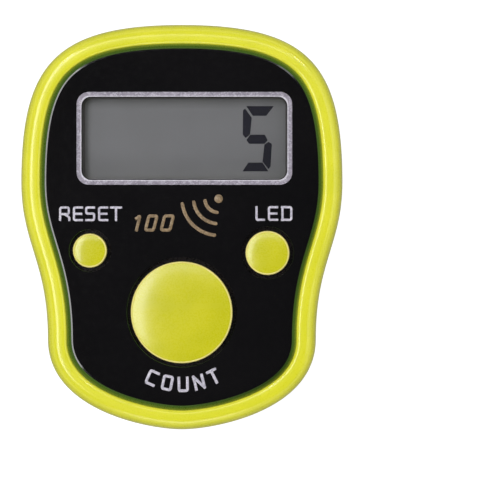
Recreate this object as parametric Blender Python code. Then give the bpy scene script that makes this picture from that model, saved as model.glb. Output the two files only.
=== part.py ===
"""Digital finger counter with a lit display, three push buttons and a pegged silicone strap.

The counter lies face up on its strap. X is to the wearer's right, Y runs to the display end and Z is
up. The ground is the flat underside of the strap loop, and the axis of symmetry of the case is the Z axis.
Heights inside the case are measured from its rear face.
"""

import math

import bmesh
import bpy
from mathutils import Matrix, Vector

MM = 0.001

# Case outline: half of it in three Bezier arcs, from the top centre by the widest point and the waist
BODY_LENGTH = 34.5 * MM
BODY_WIDTH = 27.4 * MM
WAIST_WIDTH = 22.86 * MM
WIDEST_Y = 3.85 * MM
WAIST_Y = -9.56 * MM
TOP_HANDLE = 10.88 * MM
SHOULDER_HANDLE = 10.0 * MM
FLANK_HANDLE = 5.29 * MM
WAIST_HANDLE = 6.61 * MM
HIP_HANDLE = 6.15 * MM
BOTTOM_HANDLE = 2.71 * MM
ARC_POINTS = (14, 8, 13)

# Heights of the case, from its rear face
BODY_THICKNESS = 10.0 * MM
PARTING_HEIGHT = 3.3 * MM
FLOOR_THICKNESS = 1.0 * MM
PLATE_RECESS = 0.9 * MM
PLATE_THICKNESS = 0.7 * MM
DECK_THICKNESS = 0.9 * MM

# Walls and fits
CASE_WALL = 1.2 * MM
TONGUE_WALL = 0.65 * MM
TONGUE_HEIGHT = 0.8 * MM
SNUG = 0.15 * MM
FILM = 0.1 * MM
SHADOW_LINE = 0.12 * MM
REAR_ROUNDING = 1.1 * MM
ROUNDING_STEPS = 4

# Rim bead round the face plate
RIM_WIDTH = 1.95 * MM
RIM_CREST = 1.1 * MM
RIM_RISE = 2.2 * MM
RIM_INNER_FALL = 0.4 * MM
RIM_INNER_WIDTH = 0.6 * MM
PLATE_BEVEL = 0.15 * MM

# Display, placed from the display end
WINDOW_X = 0.23 * MM
WINDOW_FROM_END = 9.7 * MM
WINDOW_WIDTH = 17.4 * MM
WINDOW_HEIGHT = 6.96 * MM
WINDOW_CORNER = 0.75 * MM
WINDOW_FIT = 0.08 * MM
DECK_OPENING_MARGIN = 0.2 * MM
GLASS_MARGIN = 1.1 * MM
LEDGE_WIDTH = 1.65 * MM
GLASS_THICKNESS = 0.55 * MM
POLARIZER_THICKNESS = 0.13 * MM
POCKET_DEPTH = 0.4 * MM
GLUE = 0.03 * MM
LIGHT_GUIDE_THICKNESS = 0.4 * MM
ZEBRA_WIDTH = 1.2 * MM
ZEBRA_END_MARGIN = 0.8 * MM
BACKLIGHT_SIZE = (0.8 * MM, 1.6 * MM, 0.6 * MM)

# Circuit board: the parts under it are placed from the display end
BOARD_HEIGHT = 5.0 * MM
BOARD_THICKNESS = 0.8 * MM
BOARD_INSET = 1.5 * MM
CHIP_X = -2.5 * MM
CHIP_FROM_END = 6.85 * MM
CHIP_RADIUS = 3.1 * MM
CHIP_RISE = 1.1 * MM
SMALL_PART_SIZE = (1.6 * MM, 0.8 * MM, 0.45 * MM)
SMALL_PARTS_X = 4.0 * MM
SMALL_PARTS_FROM_END = 8.25 * MM
SMALL_PARTS_PITCH = 1.6 * MM
SMALL_PARTS = ("resistor_1", "resistor_2", "capacitor_1", "capacitor_2")

# Buttons: places and radii of the caps, and how far their tops stand above the face plate
COUNT_X = 0.0 * MM
COUNT_Y = -7.25 * MM
COUNT_RADIUS = 4.325 * MM
COUNT_RISE = 0.8 * MM
RESET_X = -7.8 * MM
RESET_Y = -2.0 * MM
RESET_RADIUS = 1.45 * MM
LED_X = 7.3 * MM
LED_Y = -2.2 * MM
LED_RADIUS = 1.875 * MM
SMALL_RISE = 0.55 * MM
BUTTONS = (
    ("count", COUNT_X, COUNT_Y, COUNT_RADIUS, COUNT_RISE),
    ("reset", RESET_X, RESET_Y, RESET_RADIUS, SMALL_RISE),
    ("led", LED_X, LED_Y, LED_RADIUS, SMALL_RISE),
)
BUTTON_CLEARANCE = 0.38 * MM
BUTTON_ROUNDING = 0.22 * MM
BUTTON_CROWN = 0.25 * MM
CROWN_STEPS = 5
FLANGE_WIDTH = 0.8 * MM
FLANGE_THICKNESS = 0.45 * MM
SWITCH_SIDE = 3.4 * MM
SWITCH_HEIGHT = 0.55 * MM
PLUNGER_RADIUS = 0.7 * MM
PLUNGER_CLEARANCE = 0.2 * MM
PRESS_TRAVEL = 0.3 * MM

# Power: two button cells side by side under a door
CELL_RADIUS = 3.95 * MM
CELL_THICKNESS = 3.6 * MM
CELL_X = 4.05 * MM
CELL_Y = -9.8 * MM
CELL_CAN_STEP = 0.45 * MM
DOOR_THICKNESS = 0.8 * MM
DOOR_LEDGE = 0.35 * MM
CUP_WALL = 0.9 * MM
CONTACT_THICKNESS = 0.15 * MM
CONTACT_WIDTH = 2.6 * MM
CONTACT_LENGTH = 4.2 * MM
TAB_WIDTH = 3.2 * MM
TAB_REACH = 0.55 * MM
TAB_THICKNESS = 0.45 * MM

# Screws: the upper two are placed from the display end, the lower two from the waist
UPPER_SCREW_X = 7.8 * MM
UPPER_SCREW_FROM_END = 3.85 * MM
LOWER_SCREW_FROM_SIDE = 2.43 * MM
LOWER_SCREW_FROM_WAIST = 3.36 * MM
CASE_POST_RADIUS = 1.1 * MM
CASE_POST_FOOT = 1.7 * MM
CASE_BOSS_RADIUS = 1.3 * MM
CASE_SCREW_RADIUS = 0.55 * MM
CASE_HEAD_RADIUS = 1.1 * MM
CASE_HEAD_HEIGHT = 0.7 * MM
CASE_HEAD_SINK = 0.5 * MM
CASE_SCREW_LENGTH = 6.4 * MM
DOOR_SCREW_Y = -12.85 * MM
DOOR_SCREW_RADIUS = 0.45 * MM
DOOR_HEAD_RADIUS = 0.85 * MM
DOOR_HEAD_HEIGHT = 0.35 * MM
DOOR_SCREW_LENGTH = 2.8 * MM
DOOR_BOSS_RADIUS = 0.9 * MM
HEAD_CROWN_SHARE = 0.8
DRIVE_SHARE = 0.6
DRIVE_SLOT_WIDTH = 0.3 * MM
SCREW_FIT = 0.1 * MM

# Strap: one silicone band, threaded across the rear face and pegged to itself round the finger
STRAP_LENGTH = 105.0 * MM
STRAP_WIDTH = 10.0 * MM
STRAP_THICKNESS = 1.0 * MM
STRAP_EDGE = 0.2 * MM
STRAP_Y = 1.0 * MM
STRAP_FIT = 0.2 * MM
STRAP_SIDE_FIT = 0.3 * MM
LAYER_GAP = 0.25 * MM
LOOP_DEPTH = 17.5 * MM
LOOP_HALF_WIDTH = 9.6 * MM
LOOP_CORNER = 4.0 * MM
LOOP_BEND = 1.8 * MM
INNER_END = 3.0 * MM
STRAP_TIP_RADIUS = 3.0 * MM
TURN_STEPS = 8
TIP_STEPS = 4
CHANNEL_WALL = 1.2 * MM
CHANNEL_ROOF = 0.8 * MM
BAR_THICKNESS = 0.85 * MM
BAR_SINK = 0.15 * MM
BAR_WIDTH = 1.6 * MM
HOLE_PITCH = 3.5 * MM
HOLE_RADIUS = 1.0 * MM
PEG_RADIUS = 0.75 * MM
PEG_HEAD_RADIUS = 1.25 * MM
PEG_HEAD_THICKNESS = 0.5 * MM
PEG_HEAD_GAP = 0.1 * MM
PEG_COUNT = 2
PEG_FROM_TIP = 2.6 * MM

BIG = 60.0 * MM
ROUND_SIDES = 32
SMALL_SIDES = 20
SCREW_SIDES = 12

# Places and heights worked out from the ones above
DISPLAY_END = BODY_LENGTH / 2
WINDOW_Y = DISPLAY_END - WINDOW_FROM_END
CHIP_Y = DISPLAY_END - CHIP_FROM_END
SMALL_PARTS_Y = DISPLAY_END - SMALL_PARTS_FROM_END
PLATE_TOP = BODY_THICKNESS - PLATE_RECESS
PLATE_BOTTOM = PLATE_TOP - PLATE_THICKNESS
DECK_TOP = PLATE_BOTTOM - FILM
DECK_BOTTOM = DECK_TOP - DECK_THICKNESS
BOARD_TOP = BOARD_HEIGHT + BOARD_THICKNESS
BAR_TOP = BAR_SINK + BAR_THICKNESS
STRAP_IN_CASE = BAR_TOP + STRAP_FIT
CHANNEL_DEPTH = STRAP_IN_CASE + STRAP_THICKNESS + STRAP_FIT
CHANNEL_HALF_WIDTH = STRAP_WIDTH / 2 + STRAP_SIDE_FIT
DOOR_SEAT = DOOR_THICKNESS + SNUG
CELL_BOTTOM = DOOR_SEAT + CONTACT_THICKNESS
CELL_TOP = CELL_BOTTOM + CELL_THICKNESS
CUP_TOP = CELL_TOP - FILM


# Scene helpers

def clear_scene():
    """Removes every object of the open scene."""
    for obj in list(bpy.data.objects):
        bpy.data.objects.remove(obj, do_unlink=True)


def material(name, color, roughness, metallic=0.0, alpha=1.0):
    """Returns a plain Principled material."""
    mat = bpy.data.materials.new(name)
    mat.use_nodes = True
    shader = mat.node_tree.nodes["Principled BSDF"]
    shader.inputs["Base Color"].default_value = (*color, 1.0)
    shader.inputs["Roughness"].default_value = roughness
    shader.inputs["Metallic"].default_value = metallic
    shader.inputs["Alpha"].default_value = alpha
    mat.diffuse_color = (*color, alpha)
    return mat


def make_object(name, bm, mat=None, parent=None, location=(0.0, 0.0, 0.0)):
    """Turns a bmesh into a named object with outward faces."""
    bmesh.ops.recalc_face_normals(bm, faces=bm.faces)
    mesh = bpy.data.meshes.new(name)
    bm.to_mesh(mesh)
    bm.free()
    mesh.shade_smooth()
    mesh.set_sharp_from_angle(angle=math.radians(35))
    obj = bpy.data.objects.new(name, mesh)
    bpy.context.scene.collection.objects.link(obj)
    obj.location = location
    obj.parent = parent
    if mat:
        mesh.materials.append(mat)
    return obj


def combine(obj, operation, bm, parent=None, location=(0.0, 0.0, 0.0)):
    """Adds or cuts a solid, which stays in the scene as a hidden guide."""
    name = f"{obj.name}_{operation.lower()}_{len(obj.modifiers) + 1}"
    guide = make_object(name, bm, None, parent, location)
    guide.hide_render = True
    guide.display_type = "WIRE"
    modifier = obj.modifiers.new(name, "BOOLEAN")
    modifier.operation = operation
    modifier.solver = "EXACT"
    modifier.object = guide


def frame_empty(name, height):
    """Returns an empty that carries the pieces measured from its height."""
    empty = bpy.data.objects.new(name, None)
    empty.location = (0.0, 0.0, height)
    bpy.context.scene.collection.objects.link(empty)
    return empty


# Outlines in plan, all counter-clockwise

def bezier(start, start_handle, end_handle, end, count):
    """Returns points along a cubic Bezier arc, without its last point."""
    points = []
    for step in range(count):
        t = step / count
        u = 1 - t
        weights = (u**3, 3 * u * u * t, 3 * u * t * t, t**3)
        corners = (start, start_handle, end_handle, end)
        points.append(sum((w * c for w, c in zip(weights, corners)), Vector((0.0, 0.0))))
    return points


def half_outline():
    """Returns the right half of the case outline, from the top centre to just short of the bottom."""
    top = Vector((0.0, DISPLAY_END))
    widest = Vector((BODY_WIDTH / 2, WIDEST_Y))
    waist = Vector((WAIST_WIDTH / 2, WAIST_Y))
    bottom = Vector((0.0, -DISPLAY_END))
    across = Vector((1.0, 0.0))
    along = Vector((0.0, 1.0))
    shoulder, flank, hip = ARC_POINTS
    return (
        bezier(top, top + TOP_HANDLE * across, widest + SHOULDER_HANDLE * along, widest, shoulder)
        + bezier(widest, widest - FLANK_HANDLE * along, waist + WAIST_HANDLE * along, waist, flank)
        + bezier(waist, waist - HIP_HANDLE * along, bottom + BOTTOM_HANDLE * across, bottom, hip)
        + [bottom]
    )


def outline(inset=0.0):
    """Returns the case outline moved inwards by the inset."""
    right = half_outline()
    left = [Vector((-p.x, p.y)) for p in right[1:-1]]
    loop = left + right[::-1]
    count = len(loop)
    moved = []
    for i, point in enumerate(loop):
        ahead = (loop[(i + 1) % count] - point).normalized()
        behind = (point - loop[i - 1]).normalized()
        tangent = (ahead + behind).normalized()
        moved.append(point + inset * Vector((-tangent.y, tangent.x)))
    return moved


def outline_band(inset, low, high):
    """Returns the part of the inset outline between two Y values."""
    loop = outline(inset)
    band = []
    for i, point in enumerate(loop):
        after = loop[(i + 1) % len(loop)]
        if low <= point.y <= high:
            band.append(point)
        crossings = [y for y in (low, high) if (point.y - y) * (after.y - y) < 0]
        for y in sorted(crossings, reverse=after.y < point.y):
            band.append(point.lerp(after, (y - point.y) / (after.y - point.y)))
    return band


def circle(radius, count, centre=(0.0, 0.0)):
    """Returns a circle of points."""
    angles = [2 * math.pi * i / count for i in range(count)]
    return [Vector((centre[0] + radius * math.cos(a), centre[1] + radius * math.sin(a))) for a in angles]


def rounded_rectangle(centre, width, height, radius, steps=4):
    """Returns a rectangle with round corners."""
    points = []
    for quarter, (sx, sy) in enumerate(((1, 1), (-1, 1), (-1, -1), (1, -1))):
        corner = Vector(centre) + Vector((sx * (width / 2 - radius), sy * (height / 2 - radius)))
        for step in range(steps + 1):
            angle = math.pi / 2 * (quarter + step / steps)
            points.append(corner + radius * Vector((math.cos(angle), math.sin(angle))))
    return points


def rectangle(centre, width, height):
    """Returns a plain rectangle."""
    signs = ((1, 1), (-1, 1), (-1, -1), (1, -1))
    return [Vector((centre[0] + sx * width / 2, centre[1] + sy * height / 2)) for sx, sy in signs]


def cell_bay(radius, steps=10):
    """Returns the stadium that runs round both button cells at the given radius."""
    points = []
    for side in (1, -1):
        for step in range(steps + 1):
            angle = math.pi * (step / steps - 0.5) + (0.0 if side > 0 else math.pi)
            spoke = Vector((math.cos(angle), math.sin(angle)))
            points.append(Vector((side * CELL_X, CELL_Y)) + radius * spoke)
    return points


# Solids

def loft(rings):
    """Closes a stack of matching rings, given as (points, height), into one capped solid."""
    bm = bmesh.new()
    loops = [[bm.verts.new((p[0], p[1], height)) for p in points] for points, height in rings]
    for lower, upper in zip(loops, loops[1:]):
        for i in range(len(lower)):
            j = (i + 1) % len(lower)
            bm.faces.new((lower[i], lower[j], upper[j], upper[i]))
    bm.faces.new(loops[0][::-1])
    bm.faces.new(loops[-1])
    return bm


def prism(points, low, high):
    """Returns an upright prism."""
    return loft([(points, low), (points, high)])


def turned(profile, sides, centre=(0.0, 0.0)):
    """Returns a solid turned about a vertical axis, from (radius, height) pairs in order."""
    return loft([(circle(radius, sides, centre), height) for radius, height in profile])


def cylinder(radius, low, high, sides, centre=(0.0, 0.0)):
    """Returns an upright cylinder."""
    return prism(circle(radius, sides, centre), low, high)


def box(low, high):
    """Returns a box between two corners."""
    centre = ((low[0] + high[0]) / 2, (low[1] + high[1]) / 2)
    return prism(rectangle(centre, high[0] - low[0], high[1] - low[1]), low[2], high[2])


def quarter_arc(start, end, steps, first_along_height):
    """Returns (inset, height) pairs on a quarter ellipse between two corners of its box."""
    pairs = []
    for step in range(steps + 1):
        angle = math.pi / 2 * step / steps
        across, along = 1 - math.cos(angle), math.sin(angle)
        if not first_along_height:
            across, along = along, across
        pairs.append((start[0] + (end[0] - start[0]) * across, start[1] + (end[1] - start[1]) * along))
    return pairs


# Case

def case_screw_places():
    """Returns the four screw axes."""
    upper = (UPPER_SCREW_X, DISPLAY_END - UPPER_SCREW_FROM_END)
    lower = (WAIST_WIDTH / 2 - LOWER_SCREW_FROM_SIDE, WAIST_Y + LOWER_SCREW_FROM_WAIST)
    return [(side * x, y) for x, y in (upper, lower) for side in (1, -1)]


def build_front_case(frame, mat):
    """The bright shell: side wall, rim bead and the deck that carries the face plate."""
    crest = BODY_THICKNESS
    inner_edge = RIM_CREST + RIM_INNER_WIDTH
    profile = [(CASE_WALL, DECK_BOTTOM), (CASE_WALL, PARTING_HEIGHT + FILM), (0.0, PARTING_HEIGHT + FILM)]
    profile += quarter_arc((0.0, crest - RIM_RISE), (RIM_CREST, crest), ROUNDING_STEPS + 2, True)
    profile += quarter_arc((RIM_CREST, crest), (inner_edge, crest - RIM_INNER_FALL), 3, False)[1:]
    profile += [(RIM_WIDTH, DECK_TOP)]
    case = make_object("front_case", loft([(outline(i), h) for i, h in profile]), mat, frame)

    for place in case_screw_places():
        boss = cylinder(CASE_BOSS_RADIUS, BOARD_TOP + FILM, DECK_BOTTOM + FILM, SMALL_SIDES, place)
        combine(case, "UNION", boss, frame)
    opening = rounded_rectangle(
        (WINDOW_X, WINDOW_Y),
        WINDOW_WIDTH + 2 * DECK_OPENING_MARGIN,
        WINDOW_HEIGHT + 2 * DECK_OPENING_MARGIN,
        WINDOW_CORNER,
    )
    combine(case, "DIFFERENCE", prism(opening, BOARD_TOP, BODY_THICKNESS), frame)
    pocket = prism(front_glass_area(SNUG), BOARD_TOP, DECK_BOTTOM + POCKET_DEPTH)
    combine(case, "DIFFERENCE", pocket, frame)
    for _, x, y, radius, _ in BUTTONS:
        hole = cylinder(radius + BUTTON_CLEARANCE, BOARD_TOP, BODY_THICKNESS, ROUND_SIDES, (x, y))
        combine(case, "DIFFERENCE", hole, frame)
    pilot_top = CASE_HEAD_SINK + CASE_HEAD_HEIGHT + CASE_SCREW_LENGTH + FILM
    for place in case_screw_places():
        pilot = cylinder(CASE_SCREW_RADIUS + SCREW_FIT, BOARD_HEIGHT, pilot_top, SCREW_SIDES, place)
        combine(case, "DIFFERENCE", pilot, frame)
    return case


def build_rear_cover(frame, mat):
    """The rear tray with its strap channel, strap bars, cell bay and screw posts."""
    shoulder = CASE_WALL + SNUG
    profile = quarter_arc((REAR_ROUNDING, 0.0), (SHADOW_LINE, REAR_ROUNDING), ROUNDING_STEPS, False)
    profile += [
        (SHADOW_LINE, PARTING_HEIGHT),
        (shoulder, PARTING_HEIGHT),
        (shoulder, PARTING_HEIGHT + TONGUE_HEIGHT),
        (shoulder + TONGUE_WALL, PARTING_HEIGHT + TONGUE_HEIGHT),
        (shoulder + TONGUE_WALL, FLOOR_THICKNESS),
    ]
    cover = make_object("rear_cover", loft([(outline(i), h) for i, h in profile]), mat, frame)

    sunk = FLOOR_THICKNESS / 2
    head_seat = CASE_HEAD_SINK + CASE_HEAD_HEIGHT
    low = STRAP_Y - CHANNEL_HALF_WIDTH
    high = STRAP_Y + CHANNEL_HALF_WIDTH
    block = outline_band(shoulder, low - CHANNEL_WALL, high + CHANNEL_WALL)
    combine(cover, "UNION", prism(block, sunk, CHANNEL_DEPTH + CHANNEL_ROOF), frame)
    bay_radius = CELL_RADIUS + SNUG
    combine(cover, "UNION", prism(cell_bay(bay_radius + CUP_WALL), sunk, CUP_TOP), frame)
    for place in case_screw_places():
        foot_top = head_seat + FLOOR_THICKNESS
        profile = [(CASE_POST_FOOT, sunk), (CASE_POST_FOOT, foot_top), (CASE_POST_RADIUS, foot_top)]
        profile += [(CASE_POST_RADIUS, BOARD_HEIGHT - FILM)]
        post = turned(profile, SMALL_SIDES, place)
        combine(cover, "UNION", post, frame)

    combine(cover, "DIFFERENCE", box((-BIG, low, -BIG), (BIG, high, CHANNEL_DEPTH)), frame)
    combine(cover, "DIFFERENCE", prism(cell_bay(bay_radius), -BIG, BOARD_HEIGHT), frame)
    combine(cover, "DIFFERENCE", prism(cell_bay(bay_radius + DOOR_LEDGE), -BIG, DOOR_SEAT), frame)
    for place in case_screw_places():
        shank = CASE_SCREW_RADIUS + SCREW_FIT
        head = CASE_HEAD_RADIUS + SNUG
        seat = head_seat + FILM
        hole = turned([(head, -BIG), (head, seat), (shank, seat), (shank, BIG)], SCREW_SIDES, place)
        combine(cover, "DIFFERENCE", hole, frame)
    bay_top = CELL_Y + bay_radius
    notch_half = TAB_WIDTH / 2 + SNUG
    notch_low = (-notch_half, bay_top, DOOR_SEAT - SNUG - TAB_THICKNESS - SNUG)
    notch_high = (notch_half, bay_top + DOOR_LEDGE + TAB_REACH + SNUG, DOOR_SEAT)
    combine(cover, "DIFFERENCE", box(notch_low, notch_high), frame)

    for side in (1, -1):
        outer = LOOP_HALF_WIDTH - LOOP_BEND
        edges = sorted((side * outer, side * (outer - BAR_WIDTH)))
        bar = box((edges[0], low - FILM, BAR_SINK), (edges[1], high + FILM, BAR_TOP))
        combine(cover, "UNION", bar, frame)
    axis = (0.0, DOOR_SCREW_Y)
    rib_half = DOOR_BOSS_RADIUS / 2
    rib = box((-rib_half, CELL_Y - bay_radius - FILM, DOOR_SEAT), (rib_half, DOOR_SCREW_Y, CUP_TOP))
    combine(cover, "UNION", rib, frame)
    combine(cover, "UNION", cylinder(DOOR_BOSS_RADIUS, DOOR_SEAT, CUP_TOP, SCREW_SIDES, axis), frame)
    pilot = cylinder(DOOR_SCREW_RADIUS + SCREW_FIT, -BIG, BIG, SCREW_SIDES, axis)
    combine(cover, "DIFFERENCE", pilot, frame)
    return cover


def build_faceplate(frame, mat):
    """The black plate in the rim's recess, with the window and button holes."""
    inset = RIM_WIDTH + FILM
    rings = [
        (outline(inset), PLATE_BOTTOM),
        (outline(inset), PLATE_TOP - PLATE_BEVEL),
        (outline(inset + PLATE_BEVEL), PLATE_TOP),
    ]
    plate = make_object("faceplate", loft(rings), mat, frame)
    opening = rounded_rectangle((WINDOW_X, WINDOW_Y), WINDOW_WIDTH, WINDOW_HEIGHT, WINDOW_CORNER)
    combine(plate, "DIFFERENCE", prism(opening, DECK_TOP, BODY_THICKNESS), frame)
    for _, x, y, radius, _ in BUTTONS:
        hole = cylinder(radius + BUTTON_CLEARANCE, DECK_TOP, BODY_THICKNESS, ROUND_SIDES, (x, y))
        combine(plate, "DIFFERENCE", hole, frame)
    return plate


# Display

def front_glass_area(margin=0.0):
    """Returns the outline of the front glass, with its contact ledge on the lower side."""
    width = WINDOW_WIDTH + 2 * GLASS_MARGIN
    height = WINDOW_HEIGHT + 2 * GLASS_MARGIN + LEDGE_WIDTH - GLASS_MARGIN
    centre_y = WINDOW_Y - (LEDGE_WIDTH - GLASS_MARGIN) / 2
    return rectangle((WINDOW_X, centre_y), width + 2 * margin, height + 2 * margin)


def rear_glass_area():
    """Returns the outline of the rear glass, which stops short of the contact ledge."""
    ledge_edge = WINDOW_Y - WINDOW_HEIGHT / 2 - GLUE
    top_edge = WINDOW_Y + WINDOW_HEIGHT / 2 + GLASS_MARGIN
    centre = (WINDOW_X, (ledge_edge + top_edge) / 2)
    return rectangle(centre, WINDOW_WIDTH + 2 * GLASS_MARGIN, top_edge - ledge_edge)


def build_display(frame, mats):
    """The clear window and the stack of the liquid crystal display under it."""
    pane = rounded_rectangle(
        (WINDOW_X, WINDOW_Y),
        WINDOW_WIDTH - 2 * WINDOW_FIT,
        WINDOW_HEIGHT - 2 * WINDOW_FIT,
        WINDOW_CORNER - WINDOW_FIT,
    )
    make_object("display_window", prism(pane, PLATE_BOTTOM, PLATE_TOP), mats["clear"], frame)

    height = DECK_BOTTOM + POCKET_DEPTH - GLUE
    layers = (
        ("lcd_front_polarizer", rear_glass_area(), POLARIZER_THICKNESS, "lcd"),
        ("lcd_front_glass", front_glass_area(), GLASS_THICKNESS, "glass"),
        ("lcd_rear_glass", rear_glass_area(), GLASS_THICKNESS, "glass"),
        ("lcd_reflector", rear_glass_area(), POLARIZER_THICKNESS, "reflector"),
    )
    levels = {}
    for name, area, thickness, kind in layers:
        make_object(name, prism(area, height - thickness, height), mats[kind], frame)
        levels[name] = height - thickness
        height -= thickness + GLUE

    guide_low = BOARD_TOP + GLUE
    guide = prism(rear_glass_area(), guide_low, guide_low + LIGHT_GUIDE_THICKNESS)
    make_object("light_guide", guide, mats["light_guide"], frame)
    right_edge = WINDOW_X + WINDOW_WIDTH / 2 + GLASS_MARGIN
    size_x, size_y, size_z = BACKLIGHT_SIZE
    low = (right_edge + SNUG, WINDOW_Y - size_y / 2, guide_low)
    high = (low[0] + size_x, low[1] + size_y, low[2] + size_z)
    make_object("backlight_led", box(low, high), mats["led"], frame)

    ledge_y = WINDOW_Y - WINDOW_HEIGHT / 2 - LEDGE_WIDTH
    zebra_low = (WINDOW_X - WINDOW_WIDTH / 2 + ZEBRA_END_MARGIN, ledge_y + SNUG, guide_low)
    zebra_high = (
        WINDOW_X + WINDOW_WIDTH / 2 - ZEBRA_END_MARGIN,
        ledge_y + SNUG + ZEBRA_WIDTH,
        levels["lcd_front_glass"] - GLUE,
    )
    make_object("zebra_strip", box(zebra_low, zebra_high), mats["zebra"], frame)


# Electronics

def build_board(frame, mats):
    """The circuit board with the parts soldered under it."""
    plate = prism(outline(BOARD_INSET), BOARD_HEIGHT, BOARD_TOP)
    board = make_object("circuit_board", plate, mats["board"], frame)
    for place in case_screw_places():
        hole = cylinder(CASE_SCREW_RADIUS + SNUG, PARTING_HEIGHT, DECK_BOTTOM, SCREW_SIDES, place)
        combine(board, "DIFFERENCE", hole, frame)

    under = BOARD_HEIGHT - GLUE
    dome = [
        (CHIP_RADIUS * math.cos(angle), under - CHIP_RISE * math.sin(angle))
        for angle in (math.radians(a) for a in (75, 50, 25, 0))
    ]
    make_object("controller_chip", turned(dome, SMALL_SIDES, (CHIP_X, CHIP_Y)), mats["epoxy"], frame)
    size_x, size_y, size_z = SMALL_PART_SIZE
    for number, name in enumerate(SMALL_PARTS):
        middle = SMALL_PARTS_Y + number * SMALL_PARTS_PITCH
        low = (SMALL_PARTS_X - size_x / 2, middle - size_y / 2, under - size_z)
        high = (SMALL_PARTS_X + size_x / 2, middle + size_y / 2, under)
        make_object(name, box(low, high), mats[name.split("_")[0]], frame)


def build_button(frame, mats, name, x, y, radius, rise):
    """A crowned button cap with its flange, and the switch under it."""
    top = PLATE_TOP + rise
    shoulder = top - BUTTON_CROWN
    flange_top = DECK_BOTTOM - FILM
    flange_low = flange_top - FLANGE_THICKNESS
    flange = radius + FLANGE_WIDTH
    profile = [(flange, flange_low), (flange, flange_top), (radius, flange_top)]
    corner = (BUTTON_ROUNDING, shoulder)
    rounding = quarter_arc((0.0, shoulder - BUTTON_ROUNDING), corner, ROUNDING_STEPS, True)
    profile += [(radius - inset, height) for inset, height in rounding]
    edge = radius - BUTTON_ROUNDING
    for step in range(1, CROWN_STEPS):
        share = 1 - step / CROWN_STEPS
        profile.append((edge * share, top - BUTTON_CROWN * share**2))
    make_object(f"{name}_button", turned(profile, ROUND_SIDES), mats["yellow"], frame, (x, y, 0.0))

    base = BOARD_TOP + GLUE
    bore = PLUNGER_RADIUS + PLUNGER_CLEARANCE
    body = make_object(
        f"{name}_switch",
        prism(rectangle((x, y), SWITCH_SIDE, SWITCH_SIDE), base, base + SWITCH_HEIGHT),
        mats["switch"],
        frame,
    )
    combine(body, "DIFFERENCE", cylinder(bore, BOARD_HEIGHT, DECK_TOP, SMALL_SIDES, (x, y)), frame)
    stem = cylinder(PLUNGER_RADIUS, base + PRESS_TRAVEL, flange_low - GLUE, SMALL_SIDES)
    make_object(f"{name}_plunger", stem, mats["plunger"], frame, (x, y, 0.0))


# Power

def build_cells(frame, mats):
    """Two button cells in series, the one on the left upside down."""
    crimp = CELL_RADIUS - CELL_CAN_STEP
    shelf = CELL_TOP - CELL_CAN_STEP
    for name, side in (("button_cell_right", 1), ("button_cell_left", -1)):
        profile = [(CELL_RADIUS, CELL_BOTTOM), (CELL_RADIUS, shelf), (crimp, shelf), (crimp, CELL_TOP)]
        if side < 0:
            profile = [(radius, CELL_BOTTOM + CELL_TOP - height) for radius, height in reversed(profile)]
        cell = turned(profile, ROUND_SIDES)
        make_object(name, cell, mats["steel"], frame, (side * CELL_X, CELL_Y, 0.0))


def build_contacts(frame, mats):
    """The bridge plate on the door and the two spring contacts under the board."""
    low = DOOR_SEAT - SNUG + GLUE
    bridge_area = rectangle((0.0, CELL_Y), 2 * CELL_X + CONTACT_WIDTH, CONTACT_WIDTH)
    bridge = prism(bridge_area, low, low + CONTACT_THICKNESS)
    make_object("cell_bridge_plate", bridge, mats["spring_steel"], frame)
    under = BOARD_HEIGHT - GLUE
    free_height = CELL_TOP + GLUE
    for name, side in (("contact_negative", 1), ("contact_positive", -1)):
        fixed = side * (CELL_X + CONTACT_LENGTH / 2)
        bend = side * (CELL_X + CONTACT_LENGTH / 4)
        free = side * (CELL_X - CONTACT_LENGTH / 2)
        strip = [
            (fixed, under),
            (fixed, under - CONTACT_THICKNESS),
            (bend, under - CONTACT_THICKNESS),
            (free, free_height),
            (free, free_height + CONTACT_THICKNESS),
            (bend, under),
        ]
        bm = prism([Vector((x, z)) for x, z in strip], -CONTACT_WIDTH / 2, CONTACT_WIDTH / 2)
        stand = Matrix.Translation((0.0, CELL_Y, 0.0)) @ Matrix.Rotation(math.radians(90), 4, "X")
        bm.transform(stand)
        make_object(name, bm, mats["spring_steel"], frame)


def build_door(frame, mats):
    """The battery door, with a tab at the strap side and a countersunk screw hole."""
    radius = CELL_RADIUS + DOOR_LEDGE
    door = make_object("battery_door", prism(cell_bay(radius), 0.0, DOOR_THICKNESS), mats["yellow"], frame)
    edge = CELL_Y + radius
    tab = box(
        (-TAB_WIDTH / 2, edge - TAB_REACH, DOOR_THICKNESS - TAB_THICKNESS),
        (TAB_WIDTH / 2, edge + SNUG + TAB_REACH, DOOR_THICKNESS),
    )
    combine(door, "UNION", tab, frame)
    head = DOOR_HEAD_RADIUS + FILM
    shank = DOOR_SCREW_RADIUS + SCREW_FIT
    seat = DOOR_HEAD_HEIGHT + 2 * FILM
    profile = [(head, -BIG), (head, seat), (shank, seat), (shank, BIG)]
    hole = turned(profile, SCREW_SIDES, (0.0, DOOR_SCREW_Y))
    combine(door, "DIFFERENCE", hole, frame)


# Screws

def build_screw(frame, mat, name, place, shank, head, head_height, sink, length):
    """A pan-head screw driven from the rear, with a cross recess."""
    head_top = sink + head_height
    tip = head_top + length
    profile = [(head * HEAD_CROWN_SHARE, sink), (head, sink + head_height / 2), (head, head_top)]
    profile += [(shank, head_top), (shank, tip - shank), (shank / 2, tip)]
    screw = make_object(name, turned(profile, SCREW_SIDES), mat, frame, (*place, 0.0))
    depth = head_height * DRIVE_SHARE
    reach = head * DRIVE_SHARE
    for half_x, half_y in ((reach, DRIVE_SLOT_WIDTH / 2), (DRIVE_SLOT_WIDTH / 2, reach)):
        slot = box((-half_x, -half_y, sink - BIG), (half_x, half_y, sink + depth))
        combine(screw, "DIFFERENCE", slot, frame, (*place, 0.0))


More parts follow.
